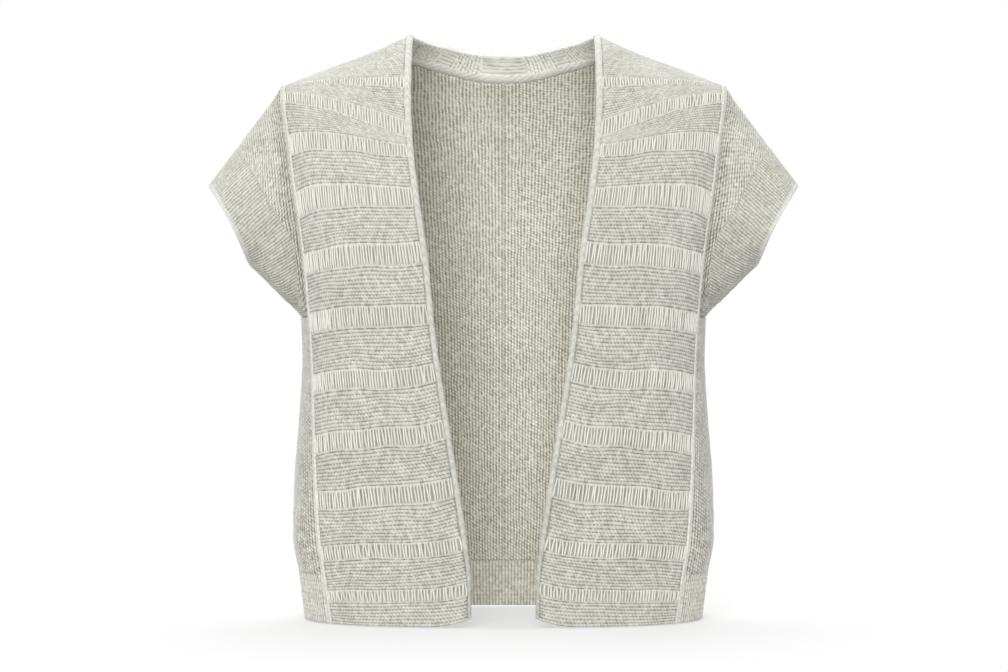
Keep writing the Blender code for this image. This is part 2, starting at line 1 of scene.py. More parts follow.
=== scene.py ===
# %% [markdown]
# # An open-front knitted cardigan
# The garment is one off-white yarn in four textures: garter bands and drop-stitch bands in the two front
# strips, a beaded moss stitch in the back, sides and sleeve caps, and ribs in the cuffs and hems.
# It is filled out as worn, and the inside of the back shows through the open front.
# Each piece is made again here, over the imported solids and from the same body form, with its stitches.

import bpy
import numpy as np
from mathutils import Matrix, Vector


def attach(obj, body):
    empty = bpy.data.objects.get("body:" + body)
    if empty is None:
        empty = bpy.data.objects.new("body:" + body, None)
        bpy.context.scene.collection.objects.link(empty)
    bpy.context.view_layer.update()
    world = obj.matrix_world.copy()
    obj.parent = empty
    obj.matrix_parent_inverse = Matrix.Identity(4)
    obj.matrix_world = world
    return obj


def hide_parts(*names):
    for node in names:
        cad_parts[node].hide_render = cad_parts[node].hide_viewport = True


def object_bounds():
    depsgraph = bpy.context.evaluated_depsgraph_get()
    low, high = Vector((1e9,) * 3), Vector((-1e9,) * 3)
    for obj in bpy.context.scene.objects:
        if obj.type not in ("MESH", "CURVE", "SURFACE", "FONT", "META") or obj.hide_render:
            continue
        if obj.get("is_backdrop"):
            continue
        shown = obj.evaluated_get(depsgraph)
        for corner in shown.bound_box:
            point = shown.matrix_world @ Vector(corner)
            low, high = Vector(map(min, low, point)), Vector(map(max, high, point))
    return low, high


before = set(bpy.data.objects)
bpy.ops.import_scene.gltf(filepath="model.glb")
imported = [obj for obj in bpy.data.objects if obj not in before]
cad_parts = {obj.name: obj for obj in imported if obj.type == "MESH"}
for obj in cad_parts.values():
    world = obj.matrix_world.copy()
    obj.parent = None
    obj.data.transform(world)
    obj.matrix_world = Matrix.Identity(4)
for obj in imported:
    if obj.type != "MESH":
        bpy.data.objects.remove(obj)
cad_box = [list(corner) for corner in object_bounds()]
print("CAD box", cad_box)

# %% [markdown]
# ## The camera
# The photograph is taken from straight in front, with a long lens at the garment's half height. A camera
# 3.2 m away with a 109 mm lens on a 36 mm sensor gives its scale and its slight perspective.

# %% Camera
def add_object(name, data):
    """A new object in the scene, at the origin."""
    made = bpy.data.objects.new(name, data)
    bpy.context.scene.collection.objects.link(made)
    return made


camera = add_object("camera", bpy.data.cameras.new("camera"))
camera.location = (0.0005, -3.2, -0.294)
camera.rotation_euler = (np.pi / 2, 0, 0)
camera.data.sensor_width = 36
camera.data.lens = 109.1
bpy.context.scene.camera = camera
bpy.context.scene.view_settings.view_transform = "Standard"
print("camera at", [round(number, 4) for number in camera.location])

# %% [markdown]
# ## The body form
# Cloth that is worn lies on a rounded form. A level section of it is an oval, squarer than an ellipse, and
# above the chest the oval closes in to the line over the shoulders. Cloth could be draped over a figure by
# simulation, but a table of sections keeps to the photograph's outline, and the solids were made from it
# too. Cubic curves that never overshoot join its rows.

# %% Sizes of the form
WALL = 0.0028  # thickness of the cloth
SEAM = 0.0003  # room between two pieces that are sewn together
BENT_ROOM = 0.0014  # room between two edges that bend over the shoulder in different steps
EDGE_RADIUS = 0.0030  # rolled cord along the front opening, at the hem
CHAIN_ACROSS = 0.0024  # half the width that a chain seam takes up between its two pieces
CHAIN_OUT = 0.0026  # half a chain's height
HEM, RIB_TOP, UNDERARM = -0.587, -0.538, -0.275  # levels
CHEST = -0.170  # above this level the form curves in to the shoulders
OVAL = 2.6  # exponent of the level sections: 2 is an ellipse, more is squarer
CURVE = {"front": 1.8, "back": 2.0}  # exponent of the curve over the shoulder
COLUMNS = ("level", "half_width", "front", "back", "opening", "seam")  # front and back are depths
SECTIONS = np.array((
    (-0.587, 0.2070, 0.128, 0.127, 0.0270, 0.1770),
    (-0.540, 0.2128, 0.129, 0.129, 0.0285, 0.1835),
    (-0.499, 0.2190, 0.130, 0.131, 0.0350, 0.1895),
    (-0.439, 0.2170, 0.130, 0.131, 0.0450, 0.1932),
    (-0.378, 0.2125, 0.129, 0.130, 0.0555, 0.1955),
    (-0.318, 0.2092, 0.128, 0.128, 0.0650, 0.1975),
    (-0.275, 0.2105, 0.127, 0.127, 0.0705, 0.2003),
    (-0.218, 0.2190, 0.126, 0.127, 0.0760, 0.2054),
    (-0.157, 0.2290, 0.125, 0.128, 0.0850, 0.2135),
    (-0.100, 0.2370, 0.124, 0.128, 0.0920, 0.2215),
    (-0.033, 0.2430, 0.124, 0.127, 0.0955, 0.2304),
    (0.045, 0.2460, 0.124, 0.126, 0.0955, 0.2304),
))
SHOULDER = np.array((  # distance from the centre line, and height of the line over the shoulder
    (0.0000, 0.0434), (0.0500, 0.0373), (0.0955, 0.0212), (0.1204, 0.0097),
    (0.1398, 0.0013), (0.1869, -0.0155), (0.2304, -0.0325), (0.2500, -0.0410),
))
ROLL_RADIUS = 0.012
EDGE_ROLL = np.array((  # the front edge rolls inwards near the hem: levels, and degrees of turn
    (-0.587, 90.0), (-0.540, 80.0), (-0.480, 40.0), (-0.420, 10.0), (-0.360, 0.0), (0.045, 0.0),
))
CORNER_LIFT, CORNER_WIDE, CORNER_HIGH = 0.009, 0.042, 0.050  # the front hem's inner corner is rounded up
FINE = 240  # points of a line before it is shared out
STEP = 2e-5  # metres either way, to find a slope
PAST_SEAM = 1.06
SHARES = np.linspace(0, PAST_SEAM, 54)  # the front's fine columns, 0 at the opening and 1 at the seam
SEAM_COLUMN = int(np.argmin(np.abs(SHARES - 1)))
print(len(SECTIONS), "level sections from", HEM, "to", SECTIONS[-1, 0])


# %% Curves between the rows of a table
def smooth(places, values, at):
    """Cubic curves through a table's rows, with slopes that are harmonic means, so none overshoots."""
    step = np.diff(places)
    slope = np.diff(values) / step
    tangent = np.concatenate((slope[:1], np.zeros(len(slope) - 1), slope[-1:]))
    same = slope[:-1] * slope[1:] > 0
    tangent[1:-1][same] = 2 * (slope[:-1] * slope[1:])[same] / (slope[:-1] + slope[1:])[same]
    at = np.clip(at, places[0], places[-1])
    k = np.clip(np.searchsorted(places, at, side="right") - 1, 0, len(step) - 1)
    u = (at - places[k]) / step[k]
    ends = (1 + 2 * u) * (1 - u) ** 2 * values[k] + u * u * (3 - 2 * u) * values[k + 1]
    return ends + step[k] * (u * (1 - u) ** 2 * tangent[k] - u * u * (1 - u) * tangent[k + 1])


def section(column, level):
    """A column of SECTIONS at any level."""
    return smooth(SECTIONS[:, 0], SECTIONS[:, COLUMNS.index(column)], level)


def shoulder(x):
    """Height of the line over the shoulder."""
    return smooth(SHOULDER[:, 0], SHOULDER[:, 1], np.abs(x))


def unit(vectors):
    """The same directions, one metre long."""
    return vectors / np.maximum(np.linalg.norm(vectors, axis=-1, keepdims=True), 1e-12)


print("half width at the underarm", round(float(section("half_width", UNDERARM)), 4))


# %% Depth of the form and its outward directions
def oval_depth(x, z, side):
    """Depth of the level oval: depth at the centre times (1 - share of half width ^ n) ^ (1 / n)."""
    share = np.clip(np.abs(x) / section("half_width", z), 0, 0.9999)
    return section(side, z) * (1 - share**OVAL) ** (1 / OVAL)


def rise(x, z):
    """How far a level has risen from the chest to the shoulder line, from 0 to 1."""
    return np.clip((z - CHEST) / (shoulder(x) - CHEST), 0, 1)


def half_depth(x, z, side):
    """The oval's depth, closed towards the shoulder line by a second curve of the same kind."""
    depth = oval_depth(x, z, side) * (1 - rise(x, z) ** CURVE[side]) ** (1 / CURVE[side])
    return np.maximum(depth, SEAM / 2)


def form_level(points, side):
    """0 on the form and more outside it."""
    x, y, z = np.moveaxis(points, -1, 0)
    return (np.abs(y) / oval_depth(x, z, side)) ** CURVE[side] + rise(x, z) ** CURVE[side]


def oval_level(points, side):
    """The same for the level oval alone."""
    x, y, z = np.moveaxis(points, -1, 0)
    return (np.abs(x) / section("half_width", z)) ** OVAL + (np.abs(y) / section(side, z)) ** OVAL


def outward(points, level_of, side):
    """Slope of a level function over a short step each way."""
    slopes = [level_of(points + axis, side) - level_of(points - axis, side) for axis in np.eye(3) * STEP]
    return unit(np.stack(slopes, axis=-1))


def back_level(x, y):
    """Level of the back form above a place in plan, by repeated correction."""
    z = shoulder(x)
    for _ in range(12):
        share = np.clip(y / oval_depth(x, z, "back"), 0, 1)
        z = CHEST + (shoulder(x) - CHEST) * (1 - share ** CURVE["back"]) ** (1 / CURVE["back"])
    return z


print("depth in front at the chest", round(float(half_depth(0.0, CHEST, "front")), 4))

# %% [markdown]
# ## Grids of cloth
# A grid holds six numbers in each place: a point on the form and the outward direction there. A grid could
# follow equal steps of height, but stitches keep their size, so it is first made fine on the form and then
# shared out evenly by length along its lines.

# %% Sharing out by length
def travelled(points):
    """Distance along a line of points, from 0 at the first."""
    return np.concatenate(([0.0], np.cumsum(np.linalg.norm(np.diff(points, axis=0), axis=1))))


def lengths(line):
    """Distance along a line of cloth, measured on its inside."""
    return travelled(line[:, :3] - line[:, 3:] * WALL)


def along(line, wanted):
    """The line's six numbers at one or more wanted distances from its start."""
    known = lengths(line)
    return np.stack([np.interp(wanted, known, values) for values in line.T], axis=-1)


def evenly(line, first, last, count):
    """The line's six numbers at evenly spread places from one distance to another."""
    return along(line, np.linspace(first, last, count))


def stacked(*parts):
    """Arrays brought to one shape, as the numbers of each place."""
    return np.stack(np.broadcast_arrays(*parts), axis=-1)


def spacing(grid):
    """Distance from row to row at each place of a grid."""
    return np.linalg.norm(np.gradient(grid[..., :3], axis=0), axis=-1)


def crossing(grid, column):
    """Sine of the angle between each row of grid[column, row] and one column's line."""
    up = unit(np.gradient(grid[column, :, :3], axis=0))
    across = unit(np.gradient(grid[..., :3], axis=0)[column])
    return np.linalg.norm(np.cross(up, across), axis=-1)


def offset_line(grid, start_share, distance, shares=SHARES):
    """The line at a distance past one column, measured square to it."""
    column = int(np.argmin(np.abs(shares - start_share)))
    sines = crossing(grid, column)
    rows = grid.transpose(1, 0, 2)
    return np.array([along(row, lengths(row)[column] + distance / s) for row, s in zip(rows, sines)])


def levels_up(start, top, top_rise, power):
    """Levels of each column from a start to its top, closer where the form closes over."""
    low = start + (CHEST - start) * np.linspace(0, 1, FINE // 2)
    turn = np.linspace(0, 1, FINE // 2 + 1)[1:] * np.arcsin(top_rise ** (power / 2))
    high = CHEST + (top - CHEST) * np.sin(turn) ** (2 / power) / top_rise
    return np.concatenate((np.broadcast_to(low, (len(top), FINE // 2)), high), axis=1)


# %% The front, the back and the side of the form
def front_form():
    """The front from the opening to just past the seam, its edge rolled in near the hem."""
    share = SHARES[:, None]
    top = shoulder(section("opening", 0.0) + share * (section("seam", 0.0) - section("opening", 0.0)))
    z = levels_up(HEM, top, np.ones_like(top), CURVE["front"])
    x = section("opening", z) + share * (section("seam", z) - section("opening", z))
    points = np.stack((x, -half_depth(x, z, "front"), z), axis=-1)
    grid = np.concatenate((points, outward(points, form_level, "front")), axis=-1)
    for line in grid.transpose(1, 0, 2):
        most = np.radians(smooth(EDGE_ROLL[:, 0], EDGE_ROLL[:, 1], line[0, 2]))
        turn = np.clip(most - lengths(line) / ROLL_RADIUS, 0, None)[:, None]
        start = along(line, ROLL_RADIUS * most)
        facing = unit(start[3:] * (1, 1, 0))
        sideways = np.array((-facing[1], facing[0], 0.0))
        rolled = start[:3] - ROLL_RADIUS * (np.sin(turn) * sideways + (1 - np.cos(turn)) * facing)
        rolled[:, 2] = line[:, 2]
        near = turn[:, 0] > 0
        line[near] = np.concatenate((rolled, np.cos(turn) * facing - np.sin(turn) * sideways), axis=1)[near]
        past = np.clip(1 - lengths(line) / CORNER_WIDE, 0, 1)
        line[:, 2] += CORNER_LIFT * past**2 * np.clip(1 - (line[0, 2] - HEM) / CORNER_HIGH, 0, 1) ** 2
    return grid


def back_form(shares, ends):
    """Back columns at shares of the seam's distance, from the hem rib to a depth in plan."""
    share, depth = np.asarray(shares)[:, None], np.asarray(ends)[:, None]
    top_x = share * section("seam", 0.0)
    top = back_level(top_x, depth)
    z = levels_up(RIB_TOP, top, np.maximum(rise(top_x, top), 1e-6), CURVE["back"])
    x = share * section("seam", z)
    points = np.stack((x, half_depth(x, z, "back"), z), axis=-1)
    return np.concatenate((points, outward(points, form_level, "back")), axis=-1)


def seam_angle(z):
    """Angle on the level oval at which the seam lies."""
    return np.arccos((section("seam", z) / section("half_width", z)) ** (OVAL / 2))


def oval_points(angle, z):
    """Points on the level oval: angle 0 is the side, negative the front, positive the back."""
    power = 2 / OVAL
    x = section("half_width", z) * np.sign(np.cos(angle)) * np.abs(np.cos(angle)) ** power
    depth = np.where(angle < 0, section("front", z), section("back", z))
    y = depth * np.sign(np.sin(angle)) * np.abs(np.sin(angle)) ** power
    points = stacked(x, y, z)
    faces = [outward(points, oval_level, side) for side in ("front", "back")]
    return np.concatenate((points, np.where((angle < 0)[..., None], *faces)), axis=-1)


def side_arc(z):
    """Line round the side at a level, from the front seam to the back seam."""
    angle = np.linspace(-1, 1, FINE + 1) * seam_angle(z)
    return oval_points(angle, np.full_like(angle, z))


front = front_form()
print("front form", front.shape)

# %% [markdown]
# ## Cloth shells
# A knitted wall has stitches on both faces. A Solidify modifier would copy the outer stitches to the
# inside, so each shell is made from arrays: an outer face with its relief, an inner face with its own and
# often with fewer rows and columns, and a rim that closes the mesh. An attribute called knit keeps each
# place's stitch count across, its row count along and how deep in the fabric it lies.

# %% A mesh from arrays
SIDES = ((1, "right"), (-1, "left"))  # sign of x, and the viewer's name for the side


def mesh_object(name, points, faces, knit, material, side=1):
    """A smooth mesh object from points, lists of faces and the knit numbers. Side -1 mirrors it."""
    if side < 0:
        points, faces = points * (-1, 1, 1), [face[::-1] for face in faces]
    mesh = bpy.data.meshes.new(name)
    mesh.from_pydata(points.tolist(), [], faces)
    mesh.shade_smooth()
    numbers = mesh.attributes.new("knit", "FLOAT_VECTOR", "POINT").data
    numbers.foreach_set("vector", knit.astype(np.float32).ravel())
    mesh.materials.append(material)
    piece = add_object(name, mesh)
    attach(piece, "root")
    print(name, len(faces), "faces")
    return piece


def quads(index):
    """Faces between the neighbours of a grid of point numbers."""
    corners = index[:-1, :-1], index[1:, :-1], index[1:, 1:], index[:-1, 1:]
    return np.stack([corner.ravel() for corner in corners], axis=1).tolist()


def rim(fine, coarse, stride):
    """Faces between a fine line of point numbers and a coarse one that keeps every stride-th place."""
    places = np.arange(len(coarse) - 1) * stride
    fan = [fine[places + k] for k in range(stride, -1, -1)]
    return np.stack([coarse[:-1], coarse[1:], *fan], axis=1).tolist()


def shell(name, grid, relief, knit, material, stride=1, inner=None, ring=False, side=1, inner_painted_light=0.0):
    """A closed wall of cloth: grid[row, column] moved out by relief, and its inner face WALL further in.

    inner is the inner face's relief, counted inwards, and inner_painted_light is added to its shade, which
    paints that face paler. It keeps every stride-th row and column. A ring's last column is joined to its
    first. Side -1 mirrors the piece.
    """
    inner = np.zeros_like(relief) if inner is None else inner
    point, facing = grid[..., :3], grid[..., 3:]
    outside = point + facing * relief[..., None]
    inside = (point - facing * (WALL + inner)[..., None])[::stride, ::stride]
    many = np.arange(outside.size // 3).reshape(outside.shape[:2])
    few = many.size + np.arange(inside.size // 3).reshape(inside.shape[:2])
    if ring:
        many, few = (np.column_stack((index, index[:, 0])) for index in (many, few))
    faces = quads(many) + quads(few[:, ::-1])
    faces += rim(many[0][::-1], few[0][::-1], stride) + rim(many[-1], few[-1], stride)
    if not ring:
        faces += rim(many[:, 0], few[:, 0], stride) + rim(many[::-1, -1], few[::-1, -1], stride)
    across = np.cross(np.diff(point, axis=0)[:, :-1], np.diff(point, axis=1)[:-1])
    if np.sum(across * facing[:-1, :-1]) < 0:
        faces = [face[::-1] for face in faces]
    points = np.concatenate((outside.reshape(-1, 3), inside.reshape(-1, 3)))
    under = knit[::stride, ::stride] + (0, 0, inner_painted_light)
    numbers = np.concatenate((knit.reshape(-1, 3), under.reshape(-1, 3)))
    return mesh_object(name, points, faces, numbers, material, side)


# %% [markdown]
# ## Yarn
# The whole garment is one soft yarn, greige deep in the knit and nearly white on the raised loops; that dark
# is painted shade.
# A picture of knitting could be wrapped round it, but the meshes already know how deep each place lies, so
# the colour runs with that number, which paints the shade between the loops. Shader sums are written as
# Python expressions: Wire holds a socket, and each operator adds its Math node.

# %% Sockets as numbers
class Wire:
    """One output socket of a node tree. Sums on it add Math nodes, so 1 - mask is a node too."""

    def __init__(self, tree, socket):
        self.tree, self.socket = tree, socket

    def math(self, operation, first, second):
        return node(self.tree, "ShaderNodeMath", {"operation": operation}, [first, second])

    def __add__(self, other):
        return self.math("ADD", self, other)

    def __radd__(self, other):
        return self.math("ADD", other, self)

    def __sub__(self, other):
        return self.math("SUBTRACT", self, other)

    def __rsub__(self, other):
        return self.math("SUBTRACT", other, self)

    def __mul__(self, other):
        return self.math("MULTIPLY", self, other)

    def __rmul__(self, other):
        return self.math("MULTIPLY", other, self)


def node(tree, kind, settings=None, inputs=None, output=0):
    """Adds a node: its settings first, then values or links for its inputs, and gives one output."""
    made = tree.nodes.new(kind)
    for name, value in (settings or {}).items():
        setattr(made, name, value)
    pairs = enumerate(inputs) if isinstance(inputs, list) else (inputs or {}).items()
    for name, value in pairs:
        if isinstance(value, Wire):
            tree.links.new(value.socket, made.inputs[name])
        else:
            made.inputs[name].default_value = value
    return Wire(tree, made.outputs[output])


# %% The yarn material
SURFACE = {"Roughness": 0.86, "Specular IOR Level": 0.22, "Sheen Weight": 0.25, "Sheen Roughness": 0.5}
CLOUD = {"Scale": 28.0, "Detail": 3.0}
HAIR = {"Scale": 900.0, "Detail": 2.0}
BY_HAIR, BY_STITCH = 0.5, 0.16  # how much of the range of colour the hairs and the single stitches take
RAISED = {"Strength": 0.5, "Distance": 0.0006}  # bump of the hairs


def set_inputs(shader, values):
    """Gives the named inputs of a node their values."""
    for name, value in values.items():
        shader.inputs[name].default_value = value


def yarn(name, light, dark, mottle=0.24):
    """Yarn whose colour runs from dark in the gaps to light on the loops, by knit's third number, which
    paints the shade between the loops into the colour.

    Cloud noise on Object coordinates mottles it, White Noise on the whole stitch numbers varies each
    stitch, and a fine noise gives the hairs, which also raise the surface.
    """
    material = bpy.data.materials.new(name)
    material.use_nodes = True
    tree = material.node_tree
    shader = tree.nodes["Principled BSDF"]
    set_inputs(shader, SURFACE)
    place = node(tree, "ShaderNodeTexCoord", output="Object")
    knit = node(tree, "ShaderNodeAttribute", {"attribute_name": "knit"}, output="Vector")
    lie = node(tree, "ShaderNodeSeparateXYZ", {}, [knit], output=2)
    whole = node(tree, "ShaderNodeVectorMath", {"operation": "FLOOR"}, [knit])
    each = node(tree, "ShaderNodeTexWhiteNoise", {"noise_dimensions": "2D"}, {"Vector": whole}, "Value")
    cloud = node(tree, "ShaderNodeTexNoise", {}, {"Vector": place, **CLOUD})
    hairs = node(tree, "ShaderNodeTexNoise", {}, {"Vector": place, **HAIR})
    amount = lie + (hairs - 0.5) * BY_HAIR + (each - 0.5) * BY_STITCH + (cloud - 0.5) * mottle
    mix = node(tree, "ShaderNodeMix", {"data_type": "RGBA"}, {0: amount, 6: (*dark, 1), 7: (*light, 1)}, 2)
    tree.links.new(mix.socket, shader.inputs["Base Color"])
    bump = node(tree, "ShaderNodeBump", {}, {**RAISED, "Height": hairs * 0.6 + each * 0.2})
    tree.links.new(bump.socket, shader.inputs["Normal"])
    return material


# The copies of the one yarn differ by painted light and shade: the back and neck yarns are painted paler for
# insides that lie in shade, and the rib yarn darker for ribs in shade at the sides and under the sleeves.
strip_yarn = yarn("strip yarn", (0.70, 0.70, 0.635), (0.21, 0.205, 0.17))
edge_yarn = yarn("edge yarn", (0.74, 0.74, 0.68), (0.28, 0.275, 0.235))
neck_painted_light_yarn = yarn("neck painted light yarn", (0.94, 0.94, 0.86), (0.20, 0.195, 0.16))
back_painted_light_yarn = yarn("back painted light yarn", (0.93, 0.91, 0.81), (0.26, 0.245, 0.19), mottle=0.08)
purl_yarn = yarn("purl yarn", (0.78, 0.77, 0.695), (0.15, 0.14, 0.11))
rib_painted_shade_yarn = yarn("rib painted shade yarn", (0.64, 0.635, 0.57), (0.19, 0.18, 0.14))
print("yarns", [material.name for material in bpy.data.materials if material.name.endswith(" yarn")])

# %% [markdown]
# ## The front strips
# Each front is one long strip knitted from hem to shoulder. Garter bands alternate with drop-stitch bands,
# where loops were let down to make long loose strands. Near the shoulder the rows lie closer at one edge
# than at the other, so the top bands are wedges. One band could be repeated by an Array modifier, but no two
# bands have the same two lengths, so a table gives them and the rows follow it.

# %% Bands of the strip
STITCHES = 40  # stitches across a strip
STITCH_POINTS = 3  # points across a stitch
RIDGE_ROWS = 3  # rows of points in a garter ridge
RIDGE_WAVE = np.array((0.0, 0.9, 0.8))  # height of a ridge at each of its rows
DROP_PLACES = (0.0, 0.06, 0.14, 0.5, 0.86, 0.94, 1.0)  # share of a drop band at each of its rows of points
DROP_ROWS = len(DROP_PLACES) - 1
TUCK = 0.0010  # how far a strip's edge goes under the cord and the chain
STRAY, STRAY_CELLS = 0.0016, (34, 5)  # metres by which rows stray up and down, and the waves of it each way
HELD_ROWS = 12  # rows at the hem and at the shoulder over which they stray less
LEAST_SPACING = 0.0006
BANDS = (  # garter ridges, or 0 for a drop band; length along the opening; length along the seam
    (7, 0.0255, 0.0206), (0, 0.0160, 0.0122),
    (9, 0.0303, 0.0294), (0, 0.0171, 0.0173),
    (10, 0.0372, 0.0334), (0, 0.0221, 0.0214),
    (10, 0.0382, 0.0346), (0, 0.0211, 0.0226),
    (10, 0.0362, 0.0379), (0, 0.0211, 0.0226),
    (11, 0.0393, 0.0400), (0, 0.0241, 0.0236),
    (10, 0.0372, 0.0359), (0, 0.0261, 0.0247),
    (10, 0.0345, 0.0349), (0, 0.0217, 0.0304),
    (9, 0.0293, 0.0345), (0, 0.0130, 0.0260),
    (10, 0.0057, 0.0360), (0, 0.0223, 0.0170),
    (11, 0.0370, 0.0075), (0, 0.0170, 0.0035),
    (27, 0.0900, 0.0060),
)


chance = np.random.default_rng(7)


def jitter(most, shape):
    """Random numbers from -most to most."""
    return chance.uniform(-most, most, shape)


def waver(rows, columns, cells, size):
    """Smooth noise from -size to size on a grid: random corners of cells, with cosine curves between."""
    corners = jitter(size, (cells[0] + 1, cells[1] + 1))

    def ways(count, cell):
        at = np.linspace(0, cell, count)
        low = np.minimum(at.astype(int), cell - 1)
        return low, (1 - np.cos(np.pi * (at - low))) / 2

    (r, a), (c, b) = ways(rows, cells[0]), ways(columns, cells[1])
    a, b = a[:, None], b[None, :]
    top = corners[np.ix_(r, c)] * (1 - b) + corners[np.ix_(r, c + 1)] * b
    return top * (1 - a) + (corners[np.ix_(r + 1, c)] * (1 - b) + corners[np.ix_(r + 1, c + 1)] * b) * a


def band_places(bands, lengths_at):
    """For each row of points: its distance in each length column, its band, and its share of that band."""
    starts = np.zeros(len(lengths_at))
    places, numbers, shares = [starts], [0], [0.0]
    for number, band in enumerate(bands):
        reach = np.array([band[column] for column in lengths_at])
        steps = band[0] * RIDGE_ROWS
        for share in np.arange(1, steps + 1) / steps if steps else DROP_PLACES[1:]:
            places.append(starts + reach * share)
            numbers.append(number)
            shares.append(share)
        starts = starts + reach
    return np.array(places), np.array(numbers), np.array(shares)


def between(grid, rows, columns):
    """The grid's six numbers at broken row and column numbers, mixed from the four places round each."""
    rows, columns = np.broadcast_arrays(rows, columns)
    r = np.clip(rows.astype(int), 0, grid.shape[0] - 2)
    c = np.clip(columns.astype(int), 0, grid.shape[1] - 2)
    a, b = (rows - r)[..., None], (columns - c)[..., None]
    low = grid[r, c] * (1 - b) + grid[r, c + 1] * b
    return low * (1 - a) + (grid[r + 1, c] * (1 - b) + grid[r + 1, c + 1] * b) * a


def strip_cloth(columns):
    """The strip's grid[row, column]: rows along the bands, columns from the cord to the chain seam."""
    places, numbers, shares = band_places(BANDS, (1, 2))
    fine = []
    for column, s in zip(front, SHARES):
        wanted = places[:, 0] + min(s, 1) * (places[:, 1] - places[:, 0])
        fine.append(along(column, wanted * lengths(column)[-1] / wanted[-1]))
    fine = np.array(fine)
    starts = (2 * EDGE_RADIUS + SEAM - TUCK) / crossing(fine, 0)
    rooms = (CHAIN_ACROSS + BENT_ROOM - TUCK) / crossing(fine, SEAM_COLUMN)
    grid = []
    for line, start, room in zip(fine.transpose(1, 0, 2), starts, rooms):
        end = lengths(line)[SEAM_COLUMN] - room
        grid.append(evenly(line, start, end, columns))
    return np.array(grid), numbers, shares


columns = STITCH_POINTS * STITCHES + 1
strip_grid, band_number, band_share = strip_cloth(columns)
row = np.arange(len(strip_grid))[:, None]
loose = np.minimum(1, np.minimum(row, row[::-1]) / HELD_ROWS)
stray = waver(*strip_grid.shape[:2], STRAY_CELLS, STRAY)
shift = loose * stray / np.maximum(spacing(strip_grid), LEAST_SPACING)
strip_grid = between(strip_grid, row + shift, np.arange(columns))
ridges = np.array([band[0] for band in BANDS])[band_number]
pitch = spacing(strip_grid) * RIDGE_ROWS
print("strip rows and columns", strip_grid.shape[:2])
print("ridge pitch", round(float(np.median(pitch[ridges > 0])), 5))

# %% [markdown]
# Garter ridges are rows of loop heads. The gap between two heads moves on by a part of a stitch from one
# ridge to the next. A Displace modifier with noise would give no rows, so each point gets its height: a wave
# across the ridges, less the gaps, each head a little higher or lower. Where the rows are squeezed together
# the relief is lower. In a drop band the ground lies back and dark behind the strands.

# %% Relief of the strip
RIDGE_HIGH, RIDGE_LOW = 0.0010, -0.0007  # heights of a ridge's top and of its foot
HEAD, BRIDGE = 0.0007, 0.0006  # depth of a gap between heads, and height of the yarn across a ridge's foot
BORDER, GROUND, EDGE_SINK = 0.0007, -0.0007, -0.0004  # row beside a drop band, its ground, strip's edges
NO_RELIEF, TO_FULL, LEAST = 0.0006, 0.0022, 0.16  # pitch where relief starts, growth to full, least share
OPEN_ROWS = 0.004  # rows of a drop band closer than this show less of its dark ground
phase = ridges * band_share
step_of_ridge = np.round(phase * RIDGE_ROWS).astype(int) % RIDGE_ROWS
ridge_number = np.cumsum((step_of_ridge == 0) & (ridges > 0))
wave = RIDGE_WAVE[step_of_ridge][:, None]
offset = np.cumsum(chance.integers(1, 3, ridge_number[-1] + 1))[ridge_number]
stitch_place = np.arange(columns)[None, :] + offset[:, None]
in_gap = (stitch_place % STITCH_POINTS == 0) * wave
bridge = (stitch_place % STITCH_POINTS == 0) * (1 - wave)
stitch_number = stitch_place // STITCH_POINTS % (STITCHES + 1)
uneven = jitter(1, (ridge_number[-1] + 1, STITCHES + 1))[ridge_number[:, None], stitch_number]
full = np.clip((pitch - NO_RELIEF) / TO_FULL, LEAST, 1)
garter = RIDGE_LOW + (RIDGE_HIGH - RIDGE_LOW) * wave * (1 + 0.25 * uneven) - HEAD * in_gap + BRIDGE * bridge
garter = garter * full + waver(*full.shape, (150, 30), 0.00025)
edge_of_band = (band_share == 1) | (band_share == 0)
border = np.isin(band_share, (DROP_PLACES[1], DROP_PLACES[-2])) & (ridges == 0)
is_garter = (ridges > 0)[:, None]
narrow = np.clip(1 - pitch / RIDGE_ROWS / OPEN_ROWS, 0, 1)
strip_relief = np.where(is_garter, garter, GROUND * (1 - narrow))
strip_relief[edge_of_band] = RIDGE_LOW * full[edge_of_band]
strip_relief[border] = BORDER * np.minimum(full[border] * 1.4, 1)
strip_relief[:, (0, -1)] = EDGE_SINK
print("relief from", round(float(strip_relief.min()), 5), "to", round(float(strip_relief.max()), 5))

# %% [markdown]
# The shade is the third number of knit, a painted shade: 0 deep in a gap, 1 on a loop that stands out. Light
# alone could draw the stitches, but in soft studio light yarn shows its depth mostly by the dark between its
# loops, which is painted into the colour.

# %% Shade of the strip
FOOT_SHADE, RIDGE_SHADE, GAP_SHADE, BRIDGE_SHADE = 0.10, 0.76, 0.28, 0.45  # in the garter bands
GROUND_SHADE, NARROW_SHADE, EDGE_SHADE, BORDER_SHADE = 0.32, 0.35, 0.22, 0.86  # in the drop bands
ROOT_PAINTED_SHADE = 0.45  # painted shade: the strip is darker where it goes under the cord and the chain
LOW_PAINTED_SHADE = (HEM, -0.50, -0.42, -0.30, -0.15), (0.0, 0.12, 0.10, 0.05, 0.0)  # levels, and the shade taken off there: painted shade, darker low down where less light falls
garter_shade = FOOT_SHADE + RIDGE_SHADE * wave - GAP_SHADE * in_gap
garter_shade = garter_shade + bridge * (BRIDGE_SHADE + 0.25 * uneven) + 0.12 * uneven
strip_shade = np.where(is_garter, garter_shade + (1 - full) * 0.08, GROUND_SHADE + NARROW_SHADE * narrow)
strip_shade[edge_of_band] = EDGE_SHADE + 0.3 * uneven[edge_of_band]
strip_shade[border] = BORDER_SHADE + 0.16 * uneven[border]
# Painted shade: the strip is darker below the middle.
strip_shade = strip_shade - np.interp(strip_grid[..., 2], *LOW_PAINTED_SHADE)
